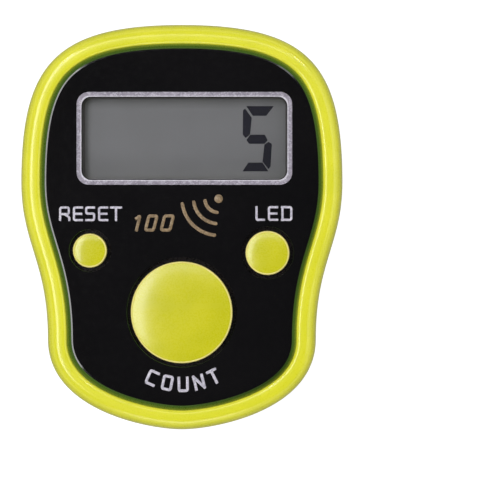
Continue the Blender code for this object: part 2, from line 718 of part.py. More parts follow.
def build_screws(frame, mat):
    """Four case screws and the door's screw."""
    for number, place in enumerate(case_screw_places(), start=1):
        build_screw(
            frame, mat, f"case_screw_{number}", place,
            CASE_SCREW_RADIUS, CASE_HEAD_RADIUS, CASE_HEAD_HEIGHT, CASE_HEAD_SINK, CASE_SCREW_LENGTH,
        )
    build_screw(
        frame, mat, "door_screw", (0.0, DOOR_SCREW_Y),
        DOOR_SCREW_RADIUS, DOOR_HEAD_RADIUS, DOOR_HEAD_HEIGHT, FILM, DOOR_SCREW_LENGTH,
    )


# Strap

def strap_steps():
    """Returns the band's centre line as (length, turn radius) steps, from its inner end to its tail.

    Every turn is a quarter turn to the left, seen from the bottom end of the case.
    """
    layer = STRAP_THICKNESS + LAYER_GAP
    outer_corner = LOOP_CORNER + layer
    bottom = STRAP_THICKNESS / 2 + layer
    top = LOOP_DEPTH + STRAP_IN_CASE + STRAP_THICKNESS / 2
    side = top - LOOP_BEND - bottom - LOOP_CORNER
    flat = 2 * LOOP_HALF_WIDTH - LOOP_CORNER - outer_corner
    across = 2 * (LOOP_HALF_WIDTH - LOOP_BEND)
    runs = (INNER_END, flat, side, across, side, flat)
    corners = (LOOP_CORNER, LOOP_CORNER, LOOP_BEND, LOOP_BEND, outer_corner, outer_corner)
    steps = []
    for run, corner in zip(runs, corners):
        steps.append((run, None))
        steps.append((math.pi / 2 * corner, corner))
    steps.append((STRAP_LENGTH - sum(length for length, _ in steps), None))
    return steps


def strap_place(distance):
    """Returns the centre line's point (x, z) and heading at a distance from the inner end."""
    layer = STRAP_THICKNESS + LAYER_GAP
    x = -LOOP_HALF_WIDTH + layer
    z = STRAP_THICKNESS / 2 + layer + LOOP_CORNER + INNER_END
    heading = -math.pi / 2
    steps = strap_steps()
    for number, (length, corner) in enumerate(steps):
        part = distance if number == len(steps) - 1 else min(length, distance)
        if corner is None:
            x += part * math.cos(heading)
            z += part * math.sin(heading)
        else:
            turned_to = heading + part / corner
            x += corner * (math.sin(turned_to) - math.sin(heading))
            z -= corner * (math.cos(turned_to) - math.cos(heading))
            heading = turned_to
        distance -= part
        if distance <= 0:
            break
    return x, z, heading


def strap_stations():
    """Returns the distances at which the band gets a cross-section."""
    stations = set()
    at = 0.0
    for length, corner in strap_steps():
        count = 1 if corner is None else TURN_STEPS
        stations.update(at + length * i / count for i in range(count + 1))
        at += length
    for step in range(TIP_STEPS + 1):
        reach = STRAP_TIP_RADIUS * (1 - math.cos(math.pi / 2 * step / TIP_STEPS))
        stations.update((reach, STRAP_LENGTH - reach))
    spread = sorted(stations)
    return [d for d, after in zip(spread, spread[1:] + [math.inf]) if after - d > GLUE]


def strap_half_width(distance):
    """Returns half the band's width, which is rounded off at both tips."""
    from_tip = min(distance, STRAP_LENGTH - distance)
    full = STRAP_WIDTH / 2
    if from_tip >= STRAP_TIP_RADIUS:
        return full
    across = STRAP_TIP_RADIUS - from_tip
    return full - STRAP_TIP_RADIUS + math.sqrt(max(STRAP_TIP_RADIUS**2 - across**2, 0.0))


def strap_matrix(distance):
    """Returns the frame of a peg or hole: its Z axis points to the inside of the loop."""
    x, z, heading = strap_place(distance)
    inward = Vector((-math.sin(heading), 0.0, math.cos(heading)))
    turn = Vector((0.0, 0.0, 1.0)).rotation_difference(inward).to_matrix().to_4x4()
    return Matrix.Translation((x, STRAP_Y, z)) @ turn


def build_strap(mat):
    """The band, with a row of holes towards its inner end and two pegs on its tail."""
    bm = bmesh.new()
    half = STRAP_THICKNESS / 2
    loops = []
    for distance in strap_stations():
        x, z, heading = strap_place(distance)
        inward = Vector((-math.sin(heading), 0.0, math.cos(heading)))
        width = strap_half_width(distance)
        section = (
            (width, half - STRAP_EDGE), (width - STRAP_EDGE, half),
            (STRAP_EDGE - width, half), (-width, half - STRAP_EDGE),
            (-width, STRAP_EDGE - half), (STRAP_EDGE - width, -half),
            (width - STRAP_EDGE, -half), (width, STRAP_EDGE - half),
        )
        centre = Vector((x, STRAP_Y, z))
        loops.append([bm.verts.new(centre + v * inward + Vector((0.0, u, 0.0))) for u, v in section])
    for near, far in zip(loops, loops[1:]):
        for i in range(len(near)):
            j = (i + 1) % len(near)
            bm.faces.new((near[i], near[j], far[j], far[i]))
    bm.faces.new(loops[0][::-1])
    bm.faces.new(loops[-1])
    strap = make_object("strap", bm, mat)

    loop_length = sum(length for length, _ in strap_steps()[:-1])
    inner_straight = sum(length for length, _ in strap_steps()[:4])
    first_peg = STRAP_LENGTH - PEG_FROM_TIP
    under_peg = inner_straight + first_peg - loop_length
    hole = under_peg
    while hole > HOLE_PITCH:
        cutter = cylinder(HOLE_RADIUS, -2 * half, 2 * half, SCREW_SIDES)
        cutter.transform(strap_matrix(hole))
        combine(strap, "DIFFERENCE", cutter)
        hole -= HOLE_PITCH
    head_low = half + LAYER_GAP + STRAP_THICKNESS + PEG_HEAD_GAP
    head_top = head_low + PEG_HEAD_THICKNESS
    profile = [(PEG_RADIUS, 0.0), (PEG_RADIUS, head_low)]
    profile += [(PEG_HEAD_RADIUS, head_low), (PEG_RADIUS, head_top)]
    for number in range(PEG_COUNT):
        peg = turned(profile, SCREW_SIDES)
        peg.transform(strap_matrix(first_peg - number * HOLE_PITCH))
        combine(strap, "UNION", peg)
    return strap


def main():
    """Builds the whole counter."""
    clear_scene()
    yellow = (0.76, 0.74, 0.03)
    mats = {
        "yellow": material("yellow_abs", yellow, 0.28),
        "black": material("black_gloss", (0.012, 0.010, 0.014), 0.12),
        "clear": material("clear_acrylic", (0.85, 0.87, 0.88), 0.05, alpha=0.3),
        "lcd": material("lcd_polarizer", (0.17, 0.17, 0.18), 0.4),
        "glass": material("lcd_glass", (0.5, 0.55, 0.55), 0.05, alpha=0.4),
        "reflector": material("lcd_reflector", (0.5, 0.5, 0.48), 0.3, 0.6),
        "light_guide": material("light_guide", (0.9, 0.9, 0.88), 0.5),
        "led": material("led_package", (0.9, 0.88, 0.7), 0.4),
        "zebra": material("zebra_rubber", (0.05, 0.05, 0.055), 0.7),
        "board": material("board_green", (0.02, 0.16, 0.06), 0.5),
        "epoxy": material("black_epoxy", (0.01, 0.01, 0.01), 0.3),
        "resistor": material("resistor_black", (0.03, 0.03, 0.03), 0.5),
        "capacitor": material("capacitor_tan", (0.45, 0.3, 0.16), 0.5),
        "switch": material("switch_body", (0.08, 0.08, 0.09), 0.5),
        "plunger": material("switch_plunger", (0.7, 0.7, 0.68), 0.5),
        "steel": material("cell_steel", (0.62, 0.62, 0.6), 0.25, 1.0),
        "spring_steel": material("contact_nickel", (0.66, 0.63, 0.55), 0.3, 1.0),
        "screw": material("screw_steel", (0.45, 0.45, 0.46), 0.35, 1.0),
        "strap": material("black_silicone", (0.018, 0.018, 0.02), 0.75),
    }
    frame = frame_empty("case_frame", LOOP_DEPTH)
    build_front_case(frame, mats["yellow"])
    build_rear_cover(frame, mats["yellow"])
    build_faceplate(frame, mats["black"])
    build_display(frame, mats)
    build_board(frame, mats)
    for button in BUTTONS:
        build_button(frame, mats, *button)
    build_cells(frame, mats)
    build_contacts(frame, mats)
    build_door(frame, mats)
    build_screws(frame, mats["screw"])
    build_strap(mats["strap"])


if __name__ == "__main__":
    main()
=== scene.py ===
"""Looks of a digital finger counter: a case with a display, three buttons and a pegged silicone strap.

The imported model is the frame: metres, Z up, the face upwards and Y towards the display end. The camera
looks straight down on the face.
"""

import logging
import math
from dataclasses import dataclass
from enum import Enum
from typing import Callable, Sequence

import bpy
from mathutils import Matrix, Vector
from mathutils.geometry import interpolate_bezier
from mathutils.kdtree import KDTree


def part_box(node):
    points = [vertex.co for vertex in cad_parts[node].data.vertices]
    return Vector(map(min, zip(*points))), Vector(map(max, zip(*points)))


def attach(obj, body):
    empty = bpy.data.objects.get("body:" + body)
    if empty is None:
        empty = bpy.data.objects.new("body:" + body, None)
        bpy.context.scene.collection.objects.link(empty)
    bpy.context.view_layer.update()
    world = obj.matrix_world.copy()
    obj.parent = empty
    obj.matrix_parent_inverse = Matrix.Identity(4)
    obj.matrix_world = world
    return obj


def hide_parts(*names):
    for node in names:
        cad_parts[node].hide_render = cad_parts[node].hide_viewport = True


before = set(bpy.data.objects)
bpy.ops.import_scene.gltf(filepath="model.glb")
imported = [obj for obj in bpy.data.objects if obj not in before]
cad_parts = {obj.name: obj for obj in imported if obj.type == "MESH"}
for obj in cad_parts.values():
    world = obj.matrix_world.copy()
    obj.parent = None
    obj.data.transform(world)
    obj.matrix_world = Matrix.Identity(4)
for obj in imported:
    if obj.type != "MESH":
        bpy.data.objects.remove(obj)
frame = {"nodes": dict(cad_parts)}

MM = 0.001
FUZZ = 0.0005 * MM
NEAR = 4 * FUZZ
QUARTER_TURN = math.pi / 2
ROUND_SIDES = 48
SMALL_SIDES = 40
FACING = 0.9
LEAST_COSINE = 0.3
NOISE_RANGE = (0.3, 0.7)
Piece = bpy.types.Object
Pair = tuple[float, float]
Color = tuple[float, float, float]
Sockets = bpy.types.bpy_prop_collection
Value = bpy.types.NodeSocket | float | tuple
Test = Callable[[Vector, Vector], bool]
log = logging.getLogger("finger_counter")


class Body(Enum):
    """The bodies that move on their own."""

    CASE = "case"
    COUNT = "count_key"
    RESET = "reset_key"
    LIGHT = "led_key"


class Cut(Enum):
    """What a second solid does to the first."""

    ADD = "UNION"
    TAKE = "DIFFERENCE"
    KEEP = "INTERSECT"


class Part(Enum):
    """What a selection holds."""

    FACE = "FACE"
    EDGE = "EDGE"


# Modelling by operators

def pick(piece: Piece) -> None:
    """Makes one object the only selected one, and the active one.

    Args:
        piece: The object.
    """
    bpy.ops.object.select_all(action="DESELECT")
    piece.select_set(True)
    bpy.context.view_layer.objects.active = piece


def newest() -> Piece:
    """Returns the object that the last operator added."""
    return bpy.context.view_layer.objects.active


def mode(name: str) -> None:
    """Enters edit mode or object mode."""
    bpy.ops.object.mode_set(mode=name)


def select(piece: Piece, part: Part, test: Test) -> None:
    """Leaves selected only the faces or edges that pass a test, and enters edit mode.

    Args:
        piece: The mesh object.
        part: Whether faces or edges are tested.
        test: Takes a face's centre and its normal, or the places of an edge's two ends.
    """
    pick(piece)
    mode("EDIT")
    bpy.ops.mesh.select_mode(type=part.value)
    bpy.ops.mesh.select_all(action="DESELECT")
    mode("OBJECT")
    mesh = piece.data
    if part is Part.FACE:
        for face in mesh.polygons:
            face.select = test(face.center, face.normal)
    else:
        for edge in mesh.edges:
            edge.select = test(*(mesh.vertices[i].co for i in edge.vertices))
    mode("EDIT")


def push(rise: float) -> None:
    """Extrudes the selected face upwards."""
    bpy.ops.mesh.extrude_region_move(TRANSFORM_OT_translate={"value": (0.0, 0.0, rise)})


def outwards(loop: Sequence[Vector]) -> list[tuple[Vector, float]]:
    """Returns the way out of a counter-clockwise loop at each of its points.

    Args:
        loop: The points.

    Returns:
        For each point the direction and the cosine of half the bend.
    """
    found = []
    for i, point in enumerate(loop):
        ahead = (loop[(i + 1) % len(loop)] - point).normalized()
        behind = (point - loop[i - 1]).normalized()
        middle = (ahead + behind).normalized()
        found.append((Vector((middle.y, -middle.x)), middle.dot(ahead)))
    return found


def widen(piece: Piece, distance: float) -> None:
    """Moves the corners of the selected flat face outwards, square to its sides.

    Args:
        piece: The mesh object, in edit mode.
        distance: How far each side moves.
    """
    mode("OBJECT")
    face = next(face for face in piece.data.polygons if face.select)
    corners = [piece.data.vertices[i] for i in face.vertices]
    for corner, (out, cosine) in zip(corners, outwards([corner.co.copy() for corner in corners])):
        corner.co += distance * (out / max(cosine, LEAST_COSINE)).to_3d()
    mode("EDIT")


def stack(points: Sequence[Vector], profile: Sequence[Pair]) -> Piece:
    """Returns a closed solid whose outline follows a profile from its underside up.

    Args:
        points: The outline in plan, counter-clockwise.
        profile: Inset and height of each level; the first inset is nought.

    Returns:
        The solid.
    """
    bpy.ops.object.select_all(action="DESELECT")
    bpy.ops.mesh.primitive_circle_add(vertices=len(points), radius=MM, fill_type="NGON")
    piece = newest()
    piece.matrix_world = Matrix.Identity(4)
    mesh = piece.data
    order = [mesh.loops[i].vertex_index for i in mesh.polygons[0].loop_indices]
    for index, point in zip(order, points):
        mesh.vertices[index].co = (point[0], point[1], profile[0][1])
    mesh.update()
    select(piece, Part.FACE, lambda centre, normal: True)
    moves = [(after[0] - before[0], after[1] - before[1]) for before, after in zip(profile, profile[1:])]
    if abs(moves[0][0]) > FUZZ:
        moves.insert(0, (0.0, 0.0))
    for inset, rise in moves:
        if inset > FUZZ:
            bpy.ops.mesh.inset(thickness=inset, depth=rise, use_even_offset=True, use_relative_offset=False)
            continue
        push(rise)
        if inset < -FUZZ:
            widen(piece, -inset)
    mode("OBJECT")
    return piece


def prism(points: Sequence[Vector], low: float, high: float) -> Piece:
    """Returns an upright solid between two heights."""
    return stack(points, [(0.0, low), (0.0, high)])


def brick(left: float, near: float, right: float, far: float, low: float, high: float) -> Piece:
    """Returns a block between two places in X, two in Y and two heights."""
    corners = ((left, near), (right, near), (right, far), (left, far))
    return prism([Vector(corner) for corner in corners], low, high)


def stepped(radii: Pair, levels: Sequence[float], centre: Sequence[float]) -> Piece:
    """Returns a round solid that narrows at one height.

    Args:
        radii: The lower and the upper radius.
        levels: The heights of the underside, the step and the top.
        centre: Its axis in plan.

    Returns:
        The solid.
    """
    low, middle, high = levels
    step = radii[0] - radii[1]
    profile = [(0.0, low), (0.0, middle), (step, middle), (step, high)]
    return stack(circle(radii[0], ROUND_SIDES, centre), profile)


def straighten(piece: Piece, reach: float = FUZZ) -> None:
    """Merges points that lie near each other, and turns every face outwards.

    Args:
        piece: The mesh object.
        reach: How far apart merged points may lie.
    """
    pick(piece)
    mode("EDIT")
    bpy.ops.mesh.select_all(action="SELECT")
    bpy.ops.mesh.remove_doubles(threshold=reach)
    bpy.ops.mesh.normals_make_consistent(inside=False)
    mode("OBJECT")


def combine(piece: Piece, cut: Cut, *tools: Piece) -> None:
    """Adds or cuts other solids in turn, and removes them.

    Args:
        piece: The solid that stays.
        cut: What the others do.
        tools: The solids that are used up.
    """
    for tool in tools:
        straighten(piece)
        straighten(tool)
        modifier = piece.modifiers.new("combine", "BOOLEAN")
        modifier.operation, modifier.solver, modifier.object = cut.value, "EXACT", tool
        pick(piece)
        bpy.ops.object.modifier_apply(modifier="combine")
        bpy.data.objects.remove(tool, do_unlink=True)


def round_edges(piece: Piece, test: Test, width: float, segments: int) -> None:
    """Bevels the edges whose two ends pass a test.

    Args:
        piece: The solid.
        test: Takes the places of an edge's two ends.
        width: The width of the bevel.
        segments: The facets of the bevel.
    """
    select(piece, Part.EDGE, test)
    bpy.ops.mesh.bevel(offset=width, segments=segments, profile=0.5, affect="EDGES", clamp_overlap=True)
    mode("OBJECT")


def round_outlines(piece: Piece, outlines: Sequence[Sequence[Vector]], height: float, width: float) -> None:
    """Bevels the edges that follow given outlines at a height.

    Args:
        piece: The solid.
        outlines: The outlines in plan.
        height: Their height.
        width: The width of the bevel.
    """
    trees = []
    for outline in outlines:
        trees.append(KDTree(len(outline)))
        for index, point in enumerate(outline):
            trees[-1].insert((point[0], point[1], 0.0), index)
        trees[-1].balance()

    def on_outline(*ends: Vector) -> bool:
        """Whether both ends of an edge lie on one outline."""
        level = all(abs(end.z - height) < FUZZ for end in ends)
        return level and any(all(tree.find((e.x, e.y, 0.0))[2] < NEAR for e in ends) for tree in trees)

    round_edges(piece, on_outline, width, segments=2)


def soften(piece: Piece, width: float, angle: float = 50.0) -> None:
    """Rounds a little every sharp edge of a solid.

    Args:
        piece: The solid.
        width: The width of the bevel.
        angle: The angle in degrees past which an edge is sharp.
    """
    straighten(piece)
    modifier = piece.modifiers.new("soften", "BEVEL")
    modifier.limit_method, modifier.angle_limit = "ANGLE", math.radians(angle)
    modifier.width, modifier.segments = width, 2
    pick(piece)
    bpy.ops.object.modifier_apply(modifier="soften")


def finish(
    piece: Piece,
    name: str,
    look: "Finish",
    slot: str,
    *nodes: str,
    body: Body = Body.CASE,
    angle: float = 32.0,
) -> Piece:
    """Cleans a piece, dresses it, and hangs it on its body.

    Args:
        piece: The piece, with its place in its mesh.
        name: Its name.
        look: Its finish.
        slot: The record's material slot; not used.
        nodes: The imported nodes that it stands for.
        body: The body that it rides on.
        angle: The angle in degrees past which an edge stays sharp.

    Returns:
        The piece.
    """
    straighten(piece)
    bpy.ops.object.transform_apply(location=True, rotation=True, scale=True)
    bpy.ops.object.shade_smooth_by_angle(angle=math.radians(angle))
    piece.modifiers.new("weights", "WEIGHTED_NORMAL").keep_sharp = True
    bpy.ops.object.modifier_apply(modifier="weights")
    piece.name = piece.data.name = name
    piece.data.materials.clear()
    piece.data.materials.append(look.material())
    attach(piece, body.value)
    if nodes:
        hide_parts(*nodes)
    log.info("%s: %d faces", name, len(piece.data.polygons))
    return piece


def paint(piece: Piece, look: "ShellMoulding", masks: Callable[[bpy.types.MeshVertex], Pair]) -> None:
    """Paints at each corner the share of painted shade and highlight, and the share of nearly black painted
    shade.

    Args:
        piece: The finished piece.
        look: Its finish, which names the two masks.
        masks: Takes a corner to its share of painted shade and highlight, and its share of nearly black
            painted shade.
    """
    attributes = piece.data.attributes
    painted_light = attributes.new(look.shade_and_highlight_attribute, "FLOAT", "POINT")
    dark = attributes.new(look.painted_shade_attribute, "FLOAT", "POINT")
    for corner, shaded_and_lit, shade_share in zip(piece.data.vertices, painted_light.data, dark.data):
        shaded_and_lit.value, shade_share.value = masks(corner)


# Outlines in plan, all counter-clockwise

def arc(centre: Sequence[float], radius: float, start: float, end: float, steps: int) -> list[Vector]:
    """Returns the points of an arc between two angles in radians, with both ends."""
    turns = [start + (end - start) * step / steps for step in range(steps + 1)]
    return [Vector((centre[0] + radius * math.cos(a), centre[1] + radius * math.sin(a))) for a in turns]


def circle(radius: float, count: int, centre: Sequence[float] = (0.0, 0.0)) -> list[Vector]:
    """Returns a circle of points."""
    return arc(centre, radius, 0.0, 2 * math.pi, count)[:-1]


def rounded_rectangle(centre: Sequence[float], width: float, height: float, radius: float) -> list[Vector]:
    """Returns a rectangle with round corners.

    Args:
        centre: Its middle.
        width: Its size in X.
        height: Its size in Y.
        radius: The corner radius.

    Returns:
        Its points.
    """
    points = []
    for number, (x, y) in enumerate(((1, 1), (-1, 1), (-1, -1), (1, -1))):
        corner = (centre[0] + x * (width / 2 - radius), centre[1] + y * (height / 2 - radius))
        points += arc(corner, radius, number * QUARTER_TURN, (number + 1) * QUARTER_TURN, steps=12)
    return points


def stadium(half_pitch: float, y: float, radius: float) -> list[Vector]:
    """Returns the outline that runs round two equal circles side by side."""
    right = arc((half_pitch, y), radius, -QUARTER_TURN, QUARTER_TURN, steps=36)
    return right + arc((-half_pitch, y), radius, QUARTER_TURN, 3 * QUARTER_TURN, steps=36)


def quarter(start: Pair, end: Pair, steps: int, upright: bool, power: float = 2.0) -> list[Pair]:
    """Returns a quarter ellipse between two corners of its box, as pairs of inset and height.

    Args:
        start: The first pair.
        end: The last pair.
        steps: The facets.
        upright: Whether it starts along the height.
        power: How square it is, from an ellipse at 2 upwards.

    Returns:
        The pairs, with both ends.
    """
    pairs = []
    for step in range(steps + 1):
        angle = QUARTER_TURN * step / steps
        across, along = 1 - math.cos(angle) ** (2 / power), math.sin(angle) ** (2 / power)
        if not upright:
            across, along = along, across
        pairs.append((start[0] + (end[0] - start[0]) * across, start[1] + (end[1] - start[1]) * along))
    return pairs


@dataclass(frozen=True)
class CaseOutline:
    """Plan outline of the case: three Bezier arcs on each side, from the top centre to the bottom."""

    length: float
    width: float
    waist_width: float = 22.86 * MM
    widest_y: float = 3.85 * MM
    waist_y: float = -9.56 * MM
    top_handle: float = 10.88 * MM
    shoulder_handle: float = 10.0 * MM
    flank_handle: float = 5.29 * MM
    waist_handle: float = 6.61 * MM
    hip_handle: float = 6.15 * MM
    bottom_handle: float = 2.71 * MM
    arc_points: tuple[int, int, int] = (56, 30, 50)

    def right_half(self) -> list[Vector]:
        """Returns the points on the right, from the top centre to the bottom centre."""
        top, bottom = Vector((0.0, self.length / 2)), Vector((0.0, -self.length / 2))
        widest = Vector((self.width / 2, self.widest_y))
        waist = Vector((self.waist_width / 2, self.waist_y))
        across, along = Vector((1.0, 0.0)), Vector((0.0, 1.0))
        arcs = (
            (top, top + self.top_handle * across, widest + self.shoulder_handle * along, widest),
            (widest, widest - self.flank_handle * along, waist + self.waist_handle * along, waist),
            (waist, waist - self.hip_handle * along, bottom + self.bottom_handle * across, bottom),
        )
        points: list[Vector] = []
        for handles, count in zip(arcs, self.arc_points):
            points += interpolate_bezier(*handles, count + 1)[:-1]
        return points + [bottom]

    def points(self, inset: float = 0.0) -> list[Vector]:
        """Returns the whole outline, counter-clockwise.

        Args:
            inset: How far it is moved inwards.

        Returns:
            Its points.
        """
        right = self.right_half()
        loop = [Vector((-p.x, p.y)) for p in right[1:-1]] + right[::-1]
        return [point - inset * out for point, (out, _) in zip(loop, outwards(loop))]


# Shader parts that several finishes share

@dataclass
class Graph:
    """Adds and links the nodes of one material or group."""

    tree: bpy.types.NodeTree

    @property
    def shader(self) -> bpy.types.Node:
        """The material's Principled shader."""
        return self.tree.nodes["Principled BSDF"]

    def add(self, kind: str, **settings: object) -> bpy.types.Node:
        """Adds a node and gives it its settings.

        Args:
            kind: The node's type.
            settings: Its properties, or its inputs by name with spaces as underscores.

        Returns:
            The node.
        """
        node = self.tree.nodes.new(kind)
        for name, value in settings.items():
            if hasattr(node, name):
                setattr(node, name, value)
            else:
                self.feed(node.inputs[name.replace("_", " ")], value)
        return node

    def feed(self, socket: bpy.types.NodeSocket, value: Value) -> None:
        """Links an output to a socket, or sets the socket's value.

        Args:
            socket: The input.
            value: The output or the value.
        """
        if isinstance(value, bpy.types.NodeSocket):
            self.tree.links.new(value, socket)
        else:
            socket.default_value = value

    def feed_all(self, node: bpy.types.Node, *values: Value) -> Value:
        """Feeds a node's first inputs in order.

        Args:
            node: The node.
            values: The outputs or values.

        Returns:
            The node's first output.
        """
        for socket, value in zip(node.inputs, values):
            self.feed(socket, value)
        return node.outputs[0]

    def math(self, operation: str, first: Value, second: Value = 0.0, clamp: bool = False) -> Value:
        """Returns the output of a Math node, kept between 0 and 1 if asked."""
        return self.feed_all(self.add("ShaderNodeMath", operation=operation, use_clamp=clamp), first, second)

    def mix(self, factor: Value, first: Value, second: Value) -> Value:
        """Mixes two colours.

        Args:
            factor: The share of the second.
            first: The first colour.
            second: The second colour.

        Returns:
            The mixed colour.
        """
        node = self.add("ShaderNodeMix", data_type="RGBA")
        self.feed(node.inputs[0], factor)
        for socket, value in ((node.inputs[6], first), (node.inputs[7], second)):
            self.feed(socket, (*value, 1.0) if isinstance(value, tuple) else value)
        return node.outputs[2]

    def ramp(self, value: Value, low: Value, high: float, start: float = 0.0, end: float = 1.0) -> Value:
        """Returns a value taken from one range to another, smoothly and clamped."""
        node = self.add("ShaderNodeMapRange", interpolation_type="SMOOTHSTEP")
        return self.feed_all(node, value, low, high, start, end)

    def patch(self, value: Value) -> Value:
        """Returns a noise as a mask between 0 and 1."""
        return self.ramp(value, *NOISE_RANGE)

    def swing(self, value: Value) -> Value:
        """Returns a noise as a mask between -1 and 1."""
        return self.ramp(value, *NOISE_RANGE, -1.0, 1.0)

    def noise(self, vector: Value, scale: Value, detail: float = 2.0, roughness: float = 0.5) -> Value:
        """Returns the value of a noise texture."""
        settings = {"Vector": vector, "Scale": scale, "Detail": detail, "Roughness": roughness}
        return self.add("ShaderNodeTexNoise", **settings).outputs[0]


class Effect:
    """A shader node group that is built once and placed in several materials."""

    name = "effect"
    takes: dict[str, float] = {}
    gives: tuple[str, ...] = ()

    @classmethod
    def tree(cls) -> bpy.types.NodeTree:
        """Returns the group's tree, built the first time."""
        if cls.name in bpy.data.node_groups:
            return bpy.data.node_groups[cls.name]
        tree = bpy.data.node_groups.new(cls.name, "ShaderNodeTree")
        tree.interface.new_socket("Vector", in_out="INPUT", socket_type="NodeSocketVector")
        for name, value in cls.takes.items():
            socket = tree.interface.new_socket(name, in_out="INPUT", socket_type="NodeSocketFloat")
            socket.default_value = value
        for name in cls.gives:
            tree.interface.new_socket(name, in_out="OUTPUT", socket_type="NodeSocketFloat")
        graph = Graph(tree)
        results = cls.wire(graph, graph.add("NodeGroupInput").outputs)
        for socket, value in zip(graph.add("NodeGroupOutput").inputs, results):
            graph.feed(socket, value)
        return tree

    @classmethod
    def wire(cls, graph: Graph, given: Sockets) -> tuple[Value, ...]:
        """Wires what is inside the group.

        Args:
            graph: The group's graph.
            given: The group's inputs.

        Returns:
            The results, in the order of the group's outputs.
        """
        raise NotImplementedError

    @classmethod
    def place(cls, graph: Graph, vector: Value, **values: float) -> Sockets:
        """Places the group in a material.

        Args:
            graph: The material's graph.
            vector: Where the pattern is read.
            values: The group's own inputs, with spaces as underscores.

        Returns:
            The group's outputs.
        """
        return graph.add("ShaderNodeGroup", node_tree=cls.tree(), Vector=vector, **values).outputs


class MouldGrain(Effect):
    """The fine texture of a moulding: shallow waves, a fine orange peel and uneven gloss."""

    name = "mould_grain"
    takes = {"Wave Scale": 300.0, "Peel Scale": 6000.0}
    gives = ("Height", "Gloss", "Patch")
    wave_share = 0.7
    peel_detail = (3.0, 0.6)

    @classmethod
    def wire(cls, graph: Graph, given: Sockets) -> tuple[Value, ...]:
        """Returns the results, in the order of the group's outputs."""
        wave = graph.noise(given["Vector"], given["Wave Scale"])
        peel = graph.noise(given["Vector"], given["Peel Scale"], *cls.peel_detail)
        waves = graph.math("MULTIPLY", wave, cls.wave_share)
        height = graph.math("ADD", waves, graph.math("MULTIPLY", peel, 1 - cls.wave_share))
        return height, graph.swing(peel), graph.patch(wave)


class Handling(Effect):
    """Marks of use: fine crossing scratches and soft smears."""

    name = "handling_marks"
    takes = {"Scratch Scale": 500.0, "Smear Scale": 120.0}
    gives = ("Scratches", "Smears")
    strokes = ((0.5, (0.05, 1.6, 1.0)), (-0.9, (0.04, 1.1, 1.0)))
    scratch_range = (0.70, 0.76)
    smear_range = (0.45, 0.7)
    smear_detail = (4.0, 0.6)

    @classmethod
    def wire(cls, graph: Graph, given: Sockets) -> tuple[Value, ...]:
        """Returns the results, in the order of the group's outputs."""
        drawn = []
        for turn, stretch in cls.strokes:
            settings = {"Vector": given["Vector"], "Rotation": (0.0, 0.0, turn), "Scale": stretch}
            mapped = graph.add("ShaderNodeMapping", **settings).outputs[0]
            lines = graph.noise(mapped, given["Scratch Scale"], detail=1.0)
            drawn.append(graph.ramp(lines, *cls.scratch_range))
        smear = graph.noise(given["Vector"], given["Smear Scale"], *cls.smear_detail)
        return graph.math("MAXIMUM", *drawn), graph.ramp(smear, *cls.smear_range)


class Speckle(Effect):
    """Small grains: flakes in an ink, or bare pads on a board."""

    name = "speckle"
    takes = {"Grain Scale": 8000.0, "Cover": 0.5}
    gives = ("Mask",)

    @classmethod
    def wire(cls, graph: Graph, given: Sockets) -> tuple[Value, ...]:
        """Returns the results, in the order of the group's outputs."""
        settings = {"feature": "F1", "Vector": given["Vector"], "Scale": given["Grain Scale"]}
        cells = graph.add("ShaderNodeTexVoronoi", **settings).outputs["Color"]
        red = graph.feed_all(graph.add("ShaderNodeSeparateColor"), cells)
        return (graph.ramp(red, graph.math("SUBTRACT", 1.0, given["Cover"]), 1.0),)


class Drawn(Effect):
    """Lines left by rolling or brushing metal along X."""

    name = "drawn_metal"
    takes = {"Line Scale": 3000.0, "Length": 0.04}
    gives = ("Height", "Gloss")
    line_detail = (3.0, 0.7)

    @classmethod
    def wire(cls, graph: Graph, given: Sockets) -> tuple[Value, ...]:
        """Returns the results, in the order of the group's outputs."""
        stretch = graph.add("ShaderNodeCombineXYZ", X=given["Length"], Y=1.0, Z=1.0).outputs[0]
        mapped = graph.add("ShaderNodeMapping", Vector=given["Vector"], Scale=stretch).outputs[0]
        lines = graph.noise(mapped, given["Line Scale"], *cls.line_detail)
        return lines, graph.swing(lines)


# Finishes

@dataclass(frozen=True)
class Finish:
    """A finish with one shader. The subclasses draw what is on it.

    uneven_gloss is how much a mask changes the roughness, depth the relief's depth in metres, and relief
    the share of it that shows.
    """

    name: str
    color: Color
    shade: Color
    roughness: float
    metallic: float = 0.0
    coat: float = 0.0
    specular: float = 0.5
    alpha: float = 1.0
    uneven_gloss: float = 0.05
    depth: float = 0.002 * MM
    relief: float = 0.5

    def material(self) -> bpy.types.Material:
        """Returns the material, built the first time."""
        label = f"look_{self.name}"
        if label in bpy.data.materials:
            return bpy.data.materials[label]
        made = bpy.data.materials.new(label)
        made.use_nodes = True
        made.diffuse_color = (*self.color, self.alpha)
        graph = Graph(made.node_tree)
        for socket, value in (
            ("Roughness", self.roughness),
            ("Metallic", self.metallic),
            ("Coat Weight", self.coat),
            ("Coat Roughness", self.roughness / 2),
            ("Specular IOR Level", self.specular),
            ("Alpha", self.alpha),
        ):
            graph.shader.inputs[socket].default_value = value
        self.draw(graph, graph.add("ShaderNodeTexCoord").outputs["Object"])
        return made

    def draw(self, graph: Graph, place: Value) -> None:
        """Links what is on the finish to the shader.

        Args:
            graph: The material's graph.
            place: Where the patterns are read.
        """
        raise NotImplementedError

    def lay(self, graph: Graph, color: Value, gloss: Value, height: Value) -> None:
        """Feeds the shader its colour, its roughness and its relief.

        Args:
            graph: The material's graph.
            color: The colour.
            gloss: A mask between -1 and 1.
            height: The relief.
        """
        uneven = graph.math("MULTIPLY", gloss, self.uneven_gloss)
        rough = graph.math("ADD", uneven, self.roughness, clamp=True)
        bump = graph.add("ShaderNodeBump", Strength=self.relief, Distance=self.depth, Height=height)
        for socket, value in (("Base Color", color), ("Roughness", rough), ("Normal", bump.outputs[0])):
            graph.feed(graph.shader.inputs[socket], value)


